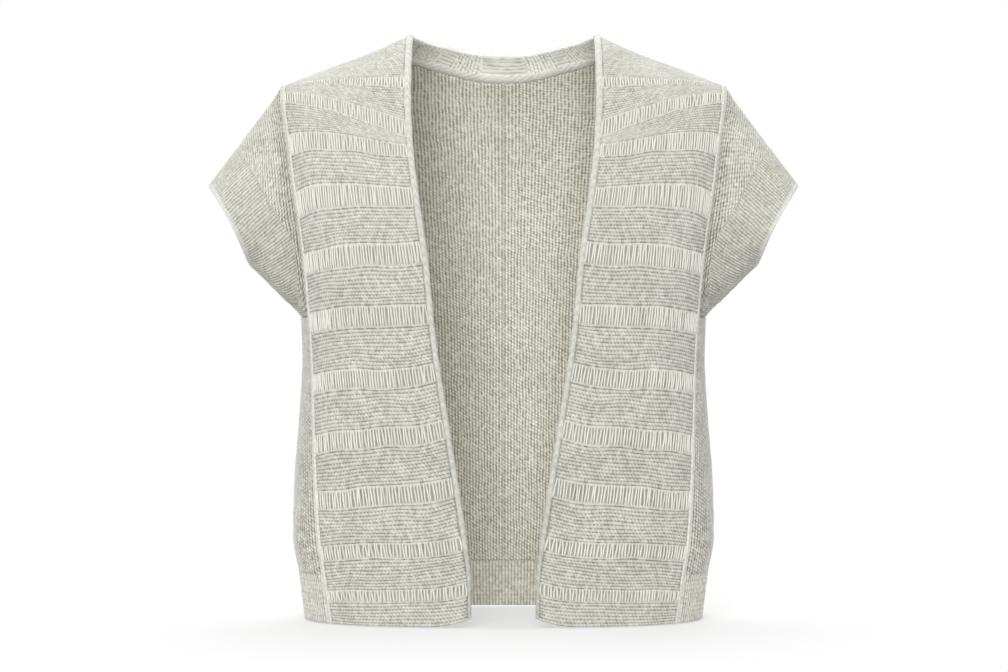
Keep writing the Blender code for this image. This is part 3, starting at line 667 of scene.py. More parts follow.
# Painted shade under the cord and the chain.
strip_shade[:, :2] *= ROOT_PAINTED_SHADE
strip_shade[:, -2:] *= ROOT_PAINTED_SHADE
rows_of_knit = np.cumsum(np.where(ridges > 0, 1 / RIDGE_ROWS, 0.2))
stitch = np.arange(columns)[None, :] / STITCH_POINTS
strip_knit = stacked(stitch, rows_of_knit[:, None], strip_shade)
for side, suffix in SIDES:
    piece = shell("strip_" + suffix, strip_grid, strip_relief, strip_knit, strip_yarn, stride=2, side=side)
    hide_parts("front_strip_" + suffix)

# %% [markdown]
# The strands of a drop band are single yarns. They run up from one row to the next, stand a little proud of
# the ground, and lean towards their neighbours here and there, which makes narrow V shapes. Each could be a
# curve with a bevel, but whole arrays make all of them at once.

# %% Strands
STRAND = 0.00102  # radius of the yarn
STRANDS = 47  # across a drop band
STRAND_SIDES, STRAND_RINGS = 5, 6
STRAND_IN, STRAND_OUT = 0.0003, 0.0006  # how far its ends lie in the cloth, and its middle stands out
LEAN, BEND, ASIDE = 0.2, 0.14, 0.12  # of a strand's place: most lean, bow and shift to a side
STANDS, THICK = (0.6, 1.3), (0.8, 1.12)  # least and most share of height and radius
SLACK_BAND = 0.012  # in a shorter band the strands are thinner, flatter and darker
END_SHADE, MIDDLE_SHADE, SLACK_SHADE = 0.86, 0.2, 0.6  # at the ends, added in the middle, if quite slack


def strands(name, side):
    """Tubes on the drop bands: a strand's line is between(strip_grid), lifted most in its middle."""
    drops = np.flatnonzero([band[0] == 0 for band in BANDS])
    first = np.array([np.flatnonzero(band_number == k)[0] - 1 for k in drops])
    share = np.linspace(0, 1, STRAND_RINGS)
    count = len(drops), STRANDS, STRAND_RINGS
    lean = jitter(LEAN, count[:2])
    lean = lean + chance.uniform(0, 2 * LEAN, count[:2]) * (-1.0) ** np.arange(STRANDS)
    middle = np.arange(STRANDS) + 0.5 + jitter(ASIDE, count[:2])
    bend = jitter(BEND, count[:2])[..., None] * np.sin(np.pi * share)
    at = middle[..., None] + lean[..., None] * (share - 0.5) + bend
    rows = first[:, None, None] + np.interp(0.03 + 0.94 * share, DROP_PLACES, np.arange(DROP_ROWS + 1))
    line = between(strip_grid, rows, np.clip(at * (columns - 1) / STRANDS, 0.5, columns - 1.5))
    swell = chance.uniform(*STANDS, count[:2])[..., None]
    lift = -STRAND_IN + STRAND_OUT * swell * np.sin(np.pi * share) ** 0.6
    band_length = np.linalg.norm(line[..., -1, :3] - line[..., 0, :3], axis=-1)
    slack = np.clip(band_length / SLACK_BAND, 0.25, 1)[..., None]
    centre = line[..., :3] + line[..., 3:] * (lift * slack)[..., None]
    forward = unit(np.gradient(centre, axis=2))
    sideways = unit(np.cross(forward, line[..., 3:]))
    turn = np.arange(STRAND_SIDES) / STRAND_SIDES * 2 * np.pi
    radius = STRAND * chance.uniform(*THICK, count[:2])[..., None] * (0.5 + 0.5 * slack)
    ring = np.cos(turn)[:, None] * sideways[..., None, :] + np.sin(turn)[:, None] * line[..., None, 3:]
    points = (centre[..., None, :] + radius[..., None, None] * ring).reshape(-1, 3)
    one = np.arange(STRAND_RINGS * STRAND_SIDES).reshape(STRAND_RINGS, STRAND_SIDES)
    tube = np.array(quads(np.column_stack((one, one[:, 0]))))
    many = np.arange(count[0] * count[1])[:, None, None] * one.size
    faces = (many + tube).reshape(-1, 4).tolist()
    faces += (many[:, 0] + one[0]).tolist() + (many[:, 0] + one[-1][::-1]).tolist()
    uneven = jitter(0.08, count[:2])[..., None]
    shade = END_SHADE + MIDDLE_SHADE * np.sin(np.pi * share) + uneven
    # Painted shade: the strands are darker below the middle, as the strip is.
    shade = SLACK_SHADE + (shade - SLACK_SHADE) * slack - np.interp(centre[..., 2], *LOW_PAINTED_SHADE)
    knit = stacked(at, rows * 0.7 + first[:, None, None], shade)
    knit = np.repeat(knit.reshape(-1, 3), STRAND_SIDES, axis=0)
    return mesh_object(name, points, faces, knit, strip_yarn, side)


for side, suffix in SIDES:
    piece = strands("strands_" + suffix, side)

# %% [markdown]
# ## Cords and chains
# The opening ends in a slip-stitch edge that rolls into a round cord. The strip's outer side and the neck
# band are joined on with raised chain seams. A bevelled curve would be quicker but smooth, so each is a tube
# of points on a line of the form, an oval whose radius follows a pattern of stitches round it and along it.

# %% Tubes on a line of cloth
def tube(name, line, across, out, sides, pattern, side=1):
    """Oval ring across * cos(turn), out * sin(turn) at each place of the line, times 1 + its relief."""
    facing = line[:, 3:]
    centre = line[:, :3] - facing * WALL / 2
    forward = unit(np.gradient(centre, axis=0))
    sideways = unit(np.cross(forward, facing))
    turn = (np.arange(sides) + 0.5) * 2 * np.pi / sides
    at = travelled(centre)[:, None]
    relief, shade = pattern(at, turn[None, :])
    swell = 1 + relief
    ring = (across * np.cos(turn) * swell)[..., None] * sideways[:, None]
    ring = ring + (out * np.sin(turn) * swell)[..., None] * facing[:, None]
    points = (centre[:, None] + ring).reshape(-1, 3)
    index = np.arange(len(points)).reshape(len(line), sides)
    faces = quads(np.column_stack((index, index[:, 0])))
    faces += [index[0].tolist(), index[-1][::-1].tolist()]
    knit = stacked(turn[None, :] / 2, at / 0.004, shade).reshape(-1, 3)
    return mesh_object(name, points, faces, knit, edge_yarn, side)


# %% Patterns of the tubes
CORD_STITCH, CORD_SWELL, CHAIN_LOOP, PLY, BUMP = 0.0098, 0.031, 0.0052, 0.016, 0.009  # lengths along a tube
CORD_PAINTED_LIGHT = (0.0, 0.25, 0.60), (0.22, 0.36, 0.54)  # lengths from the hem, and the shade there: painted light, brighter towards the shoulder
TOP = np.pi / 2  # the turn at which a tube faces straight out of the cloth


def cord(at, turn):
    """|sin| waves along a cord, drawn back on either side of its top into V stitches, and its shade.

    Its thickness changes slowly. It is bright on its stitches, with painted light near the shoulder and
    painted shade at its root.
    """
    stitches = np.abs(np.sin(np.pi * (at / CORD_STITCH + 0.55 * np.abs(turn - TOP))))
    relief = 0.06 * stitches - 0.03 + 0.05 * np.sin(2 * np.pi * at / CORD_SWELL)
    up = np.interp(at, *CORD_PAINTED_LIGHT)
    return relief, up + 0.22 * stitches - 0.2 * np.clip(-np.sin(turn) + 0.1, 0, 1)


def chain(at, turn):
    """A furrow along a chain's top, and loops that bulge on either side by turns, with its shade."""
    lobe = np.where(np.cos(turn) > 0, 0.0, 0.5)
    loops = np.abs(np.sin(np.pi * (at / CHAIN_LOOP + lobe)))
    furrow = np.exp(-(((turn - TOP) / 0.35) ** 2))
    relief = 0.20 * loops - 0.08 - 0.22 * furrow
    return relief, 0.66 + 1.2 * relief


def plies(at, turn):
    """A soft roll of yarns: |sin| waves that run slanted round it, of two lengths, with its shade."""
    yarns = np.abs(np.sin(np.pi * (at / PLY + turn * 1.6 + 0.25 * np.sin(at / 0.011))))
    relief = 0.12 * yarns + 0.07 * np.sin(2 * np.pi * at / BUMP - 6 * turn) * np.sin(at / 0.017)
    return relief, 0.64 + 2.4 * relief


def along_cord(line, spacing):
    """The line again with points evenly spaced."""
    end = lengths(line)[-1]
    return evenly(line, 0, end, int(end / spacing))


CHAIN_WIDE, NECK_WIDE = 0.0032, 0.0052  # half widths of the chains on the strips and on the neck band
CHAIN_RINGS = 420
THICKER = 0.22  # share by which the cord is thicker at the shoulder than low down
opening = along_cord(offset_line(front, 0.0, EDGE_RADIUS), 0.0018)
seam_line = offset_line(front, 1.0, 0.0)
seam_line = evenly(seam_line, 0, lengths(seam_line)[-1] - CHAIN_ACROSS / 2, CHAIN_RINGS)
cord_radius = EDGE_RADIUS * (1 + THICKER * np.clip(1 + opening[:, 2:3] / 0.30, 0, 1))
for side, suffix in SIDES:
    piece = tube("edge_" + suffix, opening, cord_radius, cord_radius, 16, cord, side)
    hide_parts("front_edge_" + suffix)
    piece = tube("chain_" + suffix, seam_line, CHAIN_WIDE, CHAIN_OUT, 14, chain, side)
    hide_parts("strip_seam_" + suffix)

# %% [markdown]
# ## Beaded cloth
# The back, the sides and the sleeve caps show the purl side of the knit, a moss of small beads. The beads
# stand in columns, and those of the next column sit half a bead lower. A small sphere for each would be too
# many faces. Two points to a column and two to a bead are enough: the beads are the high points of a
# chequered relief, and every other column is a furrow.

# %% Relief of the beads
BEAD_PITCH, BEAD_LENGTH = 0.0038, 0.0037  # distance of the columns, and of the beads along one
BEAD = 0.0010  # height of a bead
BETWEEN, FURROW = 0.45, -0.55  # shares of that height between two beads and in a furrow
BEAD_SHADE, BETWEEN_SHADE, FURROW_SHADE = 1.0, 0.56, 0.08
PATCH, PATCH_UNEVEN = 6, 0.35  # points across a patch of beads of one height, and its unevenness
FURROW_UNEVEN, BEAD_UNEVEN = 0.26, 0.14  # of the shades


def worked_by_hand(grid, cell=8, amount=0.4):
    """The grid with its places drawn a little out of true, by smooth noise over a few stitches."""
    rows, columns = grid.shape[:2]
    cells = max(rows // cell, 2), max(columns // cell, 2)
    row, column = np.ogrid[:rows, :columns]
    inside = np.minimum(1, np.minimum(row, rows - 1 - row) / 4)
    inside = inside * np.minimum(1, np.minimum(column, columns - 1 - column) / 8)
    up, across = (inside * waver(rows, columns, cells, amount) for _ in range(2))
    return between(grid, row + up, column + across)


def beads(rows, columns):
    """Relief and knit numbers of beaded cloth with two points to a column and to a bead."""
    row, column = np.ogrid[:rows, :columns]
    on_column = column % 2 == 0
    high = (row + column // 2) % 2 == 0
    relief = BEAD * np.where(on_column, np.where(high, 1.0, BETWEEN), FURROW)
    patches = max(rows // PATCH, 1), max(columns // PATCH, 1)
    relief = relief * (1 + waver(rows, columns, patches, PATCH_UNEVEN))
    shade = np.where(on_column, np.where(high, BEAD_SHADE, BETWEEN_SHADE), FURROW_SHADE)
    shade = shade + ~on_column * jitter(FURROW_UNEVEN, (rows, columns))
    shade = shade + jitter(BEAD_UNEVEN, (rows, columns))
    return relief, stacked(column / 2, row / 2, shade)


# %% The sides
MID_SIDE = -0.40  # level at which the side's width is taken


def side_cloth(levels, columns):
    """Cloth round the side, from the chain seam to the back panel, tucked a little under the chain."""
    first, room = CHAIN_ACROSS + SEAM - TUCK, CHAIN_ACROSS + SEAM / 2
    arcs = [side_arc(z) for z in levels]
    return np.array([evenly(arc, first, lengths(arc)[-1] - room, columns) for arc in arcs])


side_width = lengths(side_arc(MID_SIDE))[-1]
side_columns = 2 * int(side_width / BEAD_PITCH) + 1
side_rows = 2 * int((UNDERARM - RIB_TOP) / BEAD_LENGTH) + 1
side_grid = worked_by_hand(side_cloth(np.linspace(RIB_TOP, UNDERARM, side_rows), side_columns))
relief, knit = beads(side_rows, side_columns)
for side, suffix in SIDES:
    piece = shell("side_" + suffix, side_grid, relief, knit, purl_yarn, stride=2, side=side)
    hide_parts("side_panel_" + suffix)
print("side rows and columns", side_grid.shape[:2])

# %% [markdown]
# The back is one panel. Its columns fan out towards the shoulders, and its top follows the neck seam round
# the neck and then the shoulders. Its inside shows through the open front, so both faces have their beads.
# One mesh of it would be heavy, so it is made as two halves that meet in a furrow on the centre line.

# %% The back
NECKLINE, NECK_SEAM = (0.0955, 0.070), (0.1250, 0.090)  # half widths and depths of two ovals in plan
NECK_STEEP = 1.9  # how much faster the cloth rises at the centre back than at the shoulder
BACK_ABOVE = 0.315  # length of the back above the underarm
INSIDE_PAINTED_LIGHT = 0.12  # painted light by which the inside of the back, which lies in shade, is paler than its outside


def back_seam_line(distance):
    """The line at a distance past the seam, on the back."""
    shares = np.linspace(2 - PAST_SEAM, PAST_SEAM, 11)
    return offset_line(back_form(shares, np.full(len(shares), SEAM / 2)), 1.0, distance, shares)


def back_cloth(rows, columns):
    """Half the back: columns spread evenly to the armhole, each shared out evenly up to its end."""
    room = CHAIN_ACROSS + BENT_ROOM - TUCK
    neck = NECK_SEAM[0] + room, NECK_SEAM[1] + room / NECK_STEEP
    x = np.linspace(0, section("seam", 0.0), columns)
    y = neck[1] * np.sqrt(np.clip(1 - (x / neck[0]) ** 2, 0, None))
    half = back_form(x / section("seam", 0.0), np.maximum(y, SEAM / 2))
    half[-1] = back_seam_line(CHAIN_ACROSS)
    grid = []
    for line in half:
        levels = np.linspace(RIB_TOP, UNDERARM, side_rows)
        low = np.interp(levels, line[:, 2], lengths(line))
        high = np.linspace(low[-1], lengths(line)[-1], rows - side_rows + 1)[1:]
        grid.append(along(line, np.concatenate((low, high))))
    return np.array(grid).transpose(1, 0, 2)


back_columns = 2 * int(section("seam", 0.0) / BEAD_PITCH) + 2
back_rows = side_rows + 2 * int(BACK_ABOVE / BEAD_LENGTH)
even_back = back_cloth(back_rows, back_columns)
for side, suffix in SIDES:
    back_grid = worked_by_hand(even_back)
    relief, knit = beads(back_rows, back_columns)
    inner = beads(back_rows, back_columns)[0]
    # Painted light: the inside of the back is paler than its outside.
    knit = knit - (0, 0, INSIDE_PAINTED_LIGHT)
    name = "back_" + suffix
    piece = shell(name, back_grid, relief, knit, back_painted_light_yarn, inner=-inner, side=side, inner_painted_light=INSIDE_PAINTED_LIGHT)
    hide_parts("back_panel")
print("rows and columns of half the back", even_back.shape[:2])

# %% [markdown]
# ## Ribbed hems
# Under the sides and the back the cloth ends in a vertical rib. Each rib is a column of knit loops that
# stands out of a furrow. A Wave modifier would make all ribs alike, so the relief is an array with some
# unevenness. Inside, the rib shows its other face: a ridge every third rib with short rungs between.

# %% Hem ribs
HEM_RIB, RIB_LIFT = 0.0035, 0.0008  # width and height of a rib
RIB_SHAPE = np.array((0.0, 0.75, 1.0, 0.75))  # share of the height at each point across a rib
RIB_POINTS = len(RIB_SHAPE)
LOOP = 0.0044  # length of a knit loop along a rib
LOOP_LIFT, LOOP_UNEVEN = 0.00025, 0.00012  # height of a loop on its rib, and its unevenness
RIB_FOOT, RIB_TONE, LOOP_TONE = 0.26, 0.48, 0.16  # shade of a furrow, and what the rib and its loops add
RIB_UNEVEN, LOOP_MOTTLE = 0.12, 0.14  # unevenness of the shade by loop and by point
SIDE_CONTRAST = 1.5  # the side ribs' shades lie this much further apart
BACK_RIB_PAINTED_SHADE = 0.13  # painted shade by which the back's rib, low in the garment's hollow, is darker than its beads
INSIDE_RIDGE, RUNG, RUNG_FOOT = 0.0009, 0.0007, 0.0002  # relief of the rib's inside


def rib_relief(rows, ribs, length):
    """Relief and knit numbers of ribs: a rounded ridge across each, with a small wave of loops along it."""
    columns = ribs * RIB_POINTS + 1
    row, column = np.ogrid[:rows, :columns]
    ridge = RIB_SHAPE[column % RIB_POINTS]
    loops = 0.5 + 0.5 * np.cos(np.pi * row)
    uneven = np.repeat(jitter(1, (rows, ribs + 1)), RIB_POINTS, axis=1)[:, :columns]
    relief = RIB_LIFT * (ridge - 0.3) + (LOOP_LIFT * loops + LOOP_UNEVEN * uneven) * ridge
    relief = relief + waver(rows, columns, (6, max(ribs, 1)), 0.0002)
    shade = RIB_FOOT + RIB_TONE * ridge + LOOP_TONE * loops * ridge + RIB_UNEVEN * uneven
    shade = shade + jitter(LOOP_MOTTLE, uneven.shape)
    return relief, stacked(column / RIB_POINTS, row * length / (rows - 1) / LOOP, shade)


def rib_inside(rows, ribs):
    """Relief of a rib's inside: a ridge every third rib, and rungs across between the ridges."""
    row, column = np.ogrid[:rows, : ribs * RIB_POINTS + 1]
    ridge = (column // 2) % (3 * RIB_POINTS // 2) == 0
    rung = (row + column // (3 * RIB_POINTS)) % 2
    return np.where(ridge, INSIDE_RIDGE, RUNG * rung - RUNG_FOOT)


PAST = 0.2  # radians of the form beyond each seam


def back_hem_cloth(levels, columns):
    """Cloth round the back at given levels, a little past the seam on either side."""
    grid = []
    for z in levels:
        reach = seam_angle(z)
        angle = np.linspace(reach - PAST, np.pi - reach + PAST, 2 * FINE + 1)
        arc = oval_points(angle, np.full_like(angle, z))
        middle = lengths(arc)[-1] / 2
        half = middle - np.interp(reach, angle, lengths(arc)) + CHAIN_ACROSS
        grid.append(along(arc, middle + np.linspace(-half, half, columns)))
    return np.array(grid)


hem_rows = 2 * int((RIB_TOP - HEM) / LOOP) + 1
hem_levels = np.linspace(HEM, RIB_TOP, hem_rows)
side_ribs = round(lengths(side_arc(RIB_TOP))[-1] / HEM_RIB)
hem_grid = side_cloth(hem_levels, side_ribs * RIB_POINTS + 1)
relief, knit = rib_relief(hem_rows, side_ribs, RIB_TOP - HEM)
knit[..., 2] = 0.5 + (knit[..., 2] - 0.5) * SIDE_CONTRAST
for side, suffix in SIDES:
    piece = shell("side_rib_" + suffix, hem_grid, relief, knit, rib_painted_shade_yarn, stride=2, side=side)
    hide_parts("side_hem_" + suffix)

back_width = lengths(back_hem_cloth((RIB_TOP,), FINE)[0])[-1]
back_ribs = round(back_width / HEM_RIB)
back_hem_grid = back_hem_cloth(hem_levels, back_ribs * RIB_POINTS + 1)
relief, knit = rib_relief(hem_rows, back_ribs, RIB_TOP - HEM)
inside = rib_inside(hem_rows, back_ribs)
# Painted shade on the back's rib, and painted light on its inside.
knit = knit - (0, 0, BACK_RIB_PAINTED_SHADE + INSIDE_PAINTED_LIGHT)
back_rib = shell("back_rib", back_hem_grid, relief, knit, back_painted_light_yarn, inner=-inside, inner_painted_light=INSIDE_PAINTED_LIGHT)
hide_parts("back_hem")
print("back rib", back_hem_grid.shape[:2], "width", round(float(back_width), 4))

# %% [markdown]
# ## Sleeves
# A cap of beaded cloth runs from the armhole to a deep ribbed cuff. A tapered tube would leave a gap at the
# armhole, so straight lines of cloth join each place of the armhole to a place of the oval cuff opening.
# The rib starts far out at the top of the shoulder, and close to the armhole under the front.

# %% Sleeve form
CUFF_TIP, CUFF_FOOT = (0.3075, -0.1365), (0.2640, -0.2205)  # x and z of the opening's ends
CUFF_DEPTH, CUFF_BOW = 0.122, 0.005  # its width front to back, and how far its middle lies further in
SLEEVE_RUN = np.array((  # share of a turn from the top, share of the way down the armhole, rib start
    (0.0, 0.0, 0.62),
    (0.125, 0.14, 0.56),
    (0.25, 0.42, 0.40),
    (0.375, 0.64, 0.14),
    (0.5, 1.0, 0.34),
))
CORNER_RUN, CORNER = 0.12, 1 / 24  # the armhole's corner is rounded off over this run, and these turns
CUFF_RIBS, CUFF_ROWS = 152, 27  # ribs round the cuff, and its rows of points
SLEEVE_POINTS = 41  # along a line from armhole to opening
STEADY = 0.9  # 1 for ribs that run parallel to the top line, 0 for ribs that fan out from the opening
WAVER = 0.8  # columns of points by which a rib strays
CAP_BEADS = 132  # columns of beads round the cap


def armhole_half(edge, side):
    """Half the armhole: down an edge from the shoulder, then along the top of the side panel."""
    down = edge[::-1]
    down = down[down[:, 2] > UNDERARM + SEAM]
    arc = side_arc(UNDERARM)
    arc[:, 2] = UNDERARM + SEAM
    room, at, place = CHAIN_ACROSS + SEAM, lengths(arc), np.arange(len(arc))
    middle = len(arc) // 2
    front_part, back_part = (at > room) & (place <= middle), (at < at[-1] - room) & (place >= middle)
    under = arc[front_part] if side == "front" else arc[back_part][::-1]
    top = down[0].copy()
    top[1] = (-1 if side == "front" else 1) * SEAM / 2
    return np.concatenate((top[None], down[1:], under))


def sleeve_form(count):
    """Lines of cloth from armhole to opening as grid[turn, run], and where each line's rib starts."""
    halves = (
        armhole_half(offset_line(front, 1.0, CHAIN_ACROSS + BENT_ROOM - TUCK), "front"),
        armhole_half(back_seam_line(CHAIN_ACROSS + BENT_ROOM - TUCK), "back"),
    )
    turns = np.arange(count) / count
    from_top = np.minimum(turns, 1 - turns)
    down = smooth(SLEEVE_RUN[:, 0], SLEEVE_RUN[:, 1], from_top)
    lines = [halves[0] if turn <= 0.5 else halves[1] for turn in turns]
    starts = np.array([along(line, drop * lengths(line)[-1]) for line, drop in zip(lines, down)])
    tip, foot = np.array(CUFF_TIP), np.array(CUFF_FOOT)
    centre, reach = (tip + foot) / 2, (tip - foot) / 2
    angle = 2 * np.pi * turns
    x = centre[0] + reach[0] * np.cos(angle) - CUFF_BOW * np.sin(angle) ** 2
    z = centre[1] + reach[1] * np.cos(angle)
    ends = np.stack((x, -CUFF_DEPTH / 2 * np.sin(angle), z), axis=-1)
    corner = round(CORNER * count)
    rounded = np.mean([np.roll(starts[:, :3], k, axis=0) for k in range(-corner, corner + 1)], axis=0)
    run = np.linspace(0, 1, SLEEVE_POINTS)[None, :, None]
    soft = np.clip(run / CORNER_RUN, 0, 1)
    points = (starts[:, None, :3] * (1 - soft) + rounded[:, None] * soft) * (1 - run) + ends[:, None] * run
    around = np.roll(points, -1, axis=0) - np.roll(points, 1, axis=0)
    facing = unit(np.cross(around, np.gradient(points, axis=1)))
    facing[:, 0] = starts[:, 3:]
    return np.concatenate((points, facing), axis=-1), smooth(SLEEVE_RUN[:, 0], SLEEVE_RUN[:, 2], from_top)


cap_lines = sleeve_form(2 * CAP_BEADS)
cuff_lines = sleeve_form(RIB_POINTS * CUFF_RIBS)
print("sleeve lines", cap_lines[0].shape, cuff_lines[0].shape)

# %% Rows of the caps and cuffs
CAP_STEP = 0.0016  # distance of the cap's rows of points
LATE = 0.04  # share of even spacing kept by rows past the end of a short line


def cap_cloth(sleeve, rib_start):
    """The cap's rows at fixed steps from the armhole, crowded at the end of a short line."""
    reach = np.array([start * lengths(line)[-1] for line, start in zip(sleeve, rib_start)])
    steps = np.arange(int(reach.max() / CAP_STEP) + 2)
    cap = []
    for line, end in zip(sleeve, reach - SEAM / 2):
        even = end * steps / steps[-1]
        cap.append(along(line, (1 - LATE) * np.minimum(steps * CAP_STEP, end) + LATE * even))
    cap = np.array(cap).transpose(1, 0, 2)
    cap[0, :, 3:] = sleeve[:, 0, 3:]
    return cap, np.clip((reach[None, :] - steps[:, None] * CAP_STEP) / (2 * CAP_STEP), 0, 1)


def cuff_cloth(sleeve, rib_start, rows):
    """The cuff's rows, shared evenly from the rib's start to the opening."""
    cuff = []
    for line, start in zip(sleeve, rib_start):
        reach = lengths(line)[-1]
        cuff.append(evenly(line, start * reach, reach, rows))
    return np.array(cuff).transpose(1, 0, 2)


def in_step(cuff):
    """The cuff's rows again, with each rib partly at a fixed distance from the top line.

    Its distance is STEADY * min(its step, half a turn) + (1 - STEADY) * its even share of half a turn.
    """
    half = cuff.shape[1] // 2
    share = np.arange(half + 1) / half
    halves = []
    for order in (np.arange(half + 1), -np.arange(half + 1)):
        reach = np.array([lengths(line[order])[-1] for line in cuff])
        steady = np.minimum(share * reach.max(), reach[:, None])
        wanted = STEADY * steady + (1 - STEADY) * share * reach[:, None]
        halves.append([along(line[order], places) for line, places in zip(cuff, wanted)])
    before, behind = np.array(halves)
    return np.concatenate((before, behind[:, half - 1 : 0 : -1]), axis=1)


def strayed(cuff, size):
    """The cuff's rows with ribs that stray by smooth noise, and keep their places at the rib's start."""
    rows, columns = cuff.shape[:2]
    loose = np.linspace(0, 1, rows)[:, None]
    ends = np.minimum(1, np.minimum(np.arange(columns), columns - np.arange(columns)) / 8)
    shift = waver(rows, columns, (6, columns // 8), size)
    shift = shift * np.minimum(1, 6 * loose * (1 - loose) + 0.2) * ends
    room = 2 * int(size + 1)
    ringed = np.concatenate((cuff[:, -room:], cuff, cuff[:, :room]), axis=1)
    return between(ringed, np.arange(rows)[:, None], np.arange(columns) + room + shift)


cap_grid, used = cap_cloth(*cap_lines)
cuff_grid = strayed(in_step(cuff_cloth(*cuff_lines, CUFF_ROWS)), WAVER)
print("cap rows and columns", cap_grid.shape[:2], "cuff", cuff_grid.shape[:2])

# %% [markdown]
# The photograph shows a dark gutter where the cap leaves the armhole, deeper towards the underarm, and paler
# beads outside it. A lamp can't be aimed into it alone, so the painted shade in the colour and the height of
# the beads follow it.

# %% Beads of the caps
GUTTER_ROWS = 13  # rows of the cap over which its painted shade fades, paler away from the armhole
GUTTER_PAINTED_SHADE_AND_DEPTH = (0.0, 0.2, 0.38, 0.44, 0.46), (0.3, 0.6, 1.0, 1.2, 0.0)  # turns from the top, and depth there of the gutter's painted shade and of its beads
cap_relief, cap_knit = beads(*cap_grid.shape[1::-1])
cap_relief, cap_knit = cap_relief.T * used, cap_knit.transpose(1, 0, 2)
turns = np.arange(2 * CAP_BEADS) / (2 * CAP_BEADS)
depth = np.interp(np.minimum(turns, 1 - turns), *GUTTER_PAINTED_SHADE_AND_DEPTH)
away = 1 - (1 - np.clip(np.arange(len(cap_relief)) / GUTTER_ROWS, 0, 1)[:, None]) * depth
cap_grid = worked_by_hand(cap_grid, 6)
cap_relief = cap_relief * (1.25 - 0.45 * away)
# Painted shade: the beads are darker in the gutter by the armhole and paler away from it.
cap_knit[..., 2] = cap_knit[..., 2] * (1.1 - 0.3 * away) + 0.20 * away - 0.36 * (1 - away)
print("shade of the cap from", round(float(cap_knit[..., 2].min()), 2))

# %% [markdown]
# The cuff's ribs run beside the top line of the sleeve and end one by one under it, where they are crowded
# and lie flat. The last rows make a smooth, bright edge at the opening.

# %% Ribs of the cuffs
HOLLOW_PAINTED_SHADE, HOLLOW_TOP, HOLLOW_ROWS = 0.16, -0.17, 14  # painted shade: the cuff is darker low down, near the armhole
HOLLOW_SOFT = 0.05  # height over which that comes in
FLAT_SHADE = 0.55  # shade of crowded ribs
CUFF_EDGE, CUFF_EDGE_SHADE = 0.0011, 0.95  # relief and shade of the cuff's edge
cuff_relief, cuff_knit = rib_relief(CUFF_ROWS, CUFF_RIBS, 0.08)
cuff_relief, cuff_knit = cuff_relief[:, :-1], cuff_knit[:, :-1].copy()
apart = np.linalg.norm((np.roll(cuff_grid, -1, axis=1) - np.roll(cuff_grid, 1, axis=1))[..., :3], axis=-1)
clear = np.clip(1.6 * apart / np.median(apart) - 0.4, 0, 1)
cuff_relief = cuff_relief * clear
cuff_knit[..., 2] = FLAT_SHADE + (cuff_knit[..., 2] - FLAT_SHADE) * clear
cuff_row = np.arange(CUFF_ROWS)[:, None]
low_down = np.clip((HOLLOW_TOP - cuff_grid[..., 2]) / HOLLOW_SOFT, 0, 1)
# Painted shade: the cuff's colour is darker low down near the armhole.
cuff_knit[..., 2] -= HOLLOW_PAINTED_SHADE * low_down * np.clip(1 - cuff_row / HOLLOW_ROWS, 0, 1)
at_edge = np.clip(cuff_row - (CUFF_ROWS - 4), 0, 2) / 2
cuff_relief = cuff_relief * (1 - at_edge) + CUFF_EDGE * at_edge
cuff_knit[..., 2] = cuff_knit[..., 2] * (1 - at_edge) + CUFF_EDGE_SHADE * at_edge
round_cloth = {"stride": 2, "ring": True}
for side, suffix in SIDES:
    piece = shell("cap_" + suffix, cap_grid, cap_relief, cap_knit, purl_yarn, side=side, **round_cloth)
    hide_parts("sleeve_" + suffix)
    name = "cuff_rib_" + suffix
    piece = shell(name, cuff_grid, cuff_relief, cuff_knit, rib_painted_shade_yarn, side=side, **round_cloth)
    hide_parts("cuff_" + suffix)

# %% [markdown]
# ## The back neck band
# A narrow strip of the same bands as the fronts is sewn sideways round the back of the neck. Its garter
# ridges stand upright and its loose strands lie level. A soft round seam joins it to the back panel. Bending
# a copy of the front strip round the neck would squeeze its stitches, so it gets a grid of its own.

# %% Neck band
# From the centre back outwards: garter ridges, or 0 for a drop band; length.
NECK_BANDS = ((0, 0.026), (8, 0.033), (0, 0.019), (9, 0.037), (0, 0.022), (5, 0.023))
NECK_STITCHES = 7  # stitches across the band
NECK_GROUND, NECK_STRAND = -0.0008, 0.0019  # in its drop bands: height of the ground, and of a strand on it
NECK_EDGE, NECK_EDGE_SHADE = 0.0002, 0.8  # height and shade of the band's two edges
NECK_FOOT, NECK_RIDGE, NECK_GAP = 0.50, 1.05, 0.75  # shade of a ridge's foot, its gain, and a gap's loss
NECK_BACK, NECK_FRONT = 0.42, 1.2  # shade of a drop band's ground, and what a strand adds
NECK_INSIDE_PAINTED_LIGHT = 0.7  # painted light by which the inside of the neck band, which lies in shade, is paler than its outside
RIM_SHADE = 1.15  # the band's rim is an even, pale line
RIDGE_UP = 0.0020  # the middle of the neck ridge lies this far above the seam, in plan


def plan_ring(size, angles):
    """Points of the back form above an oval in plan, with their outward directions."""
    x, y = size[0] * np.cos(angles), np.maximum(size[1] * np.sin(angles), SEAM / 2)
    points = np.stack((x, y, back_level(x, y)), axis=-1)
    return np.concatenate((points, outward(points, form_level, "back")), axis=-1)


def neck_places():
    """Angles of the neck band's columns, centre to shoulder, with each one's band and share of it."""
    places, numbers, shares = band_places(NECK_BANDS, (1,))
    middle = [(a + b) / 2 for a, b in zip(NECKLINE, NECK_SEAM)]
    turn = np.linspace(np.pi / 2, 0, FINE)
    path = np.zeros((FINE, 6))
    path[:, 0], path[:, 1] = middle[0] * np.cos(turn), middle[1] * np.sin(turn)
    share = places[:, 0] / places[-1, 0]
    return np.interp(share * lengths(path)[-1], lengths(path), turn), numbers, shares


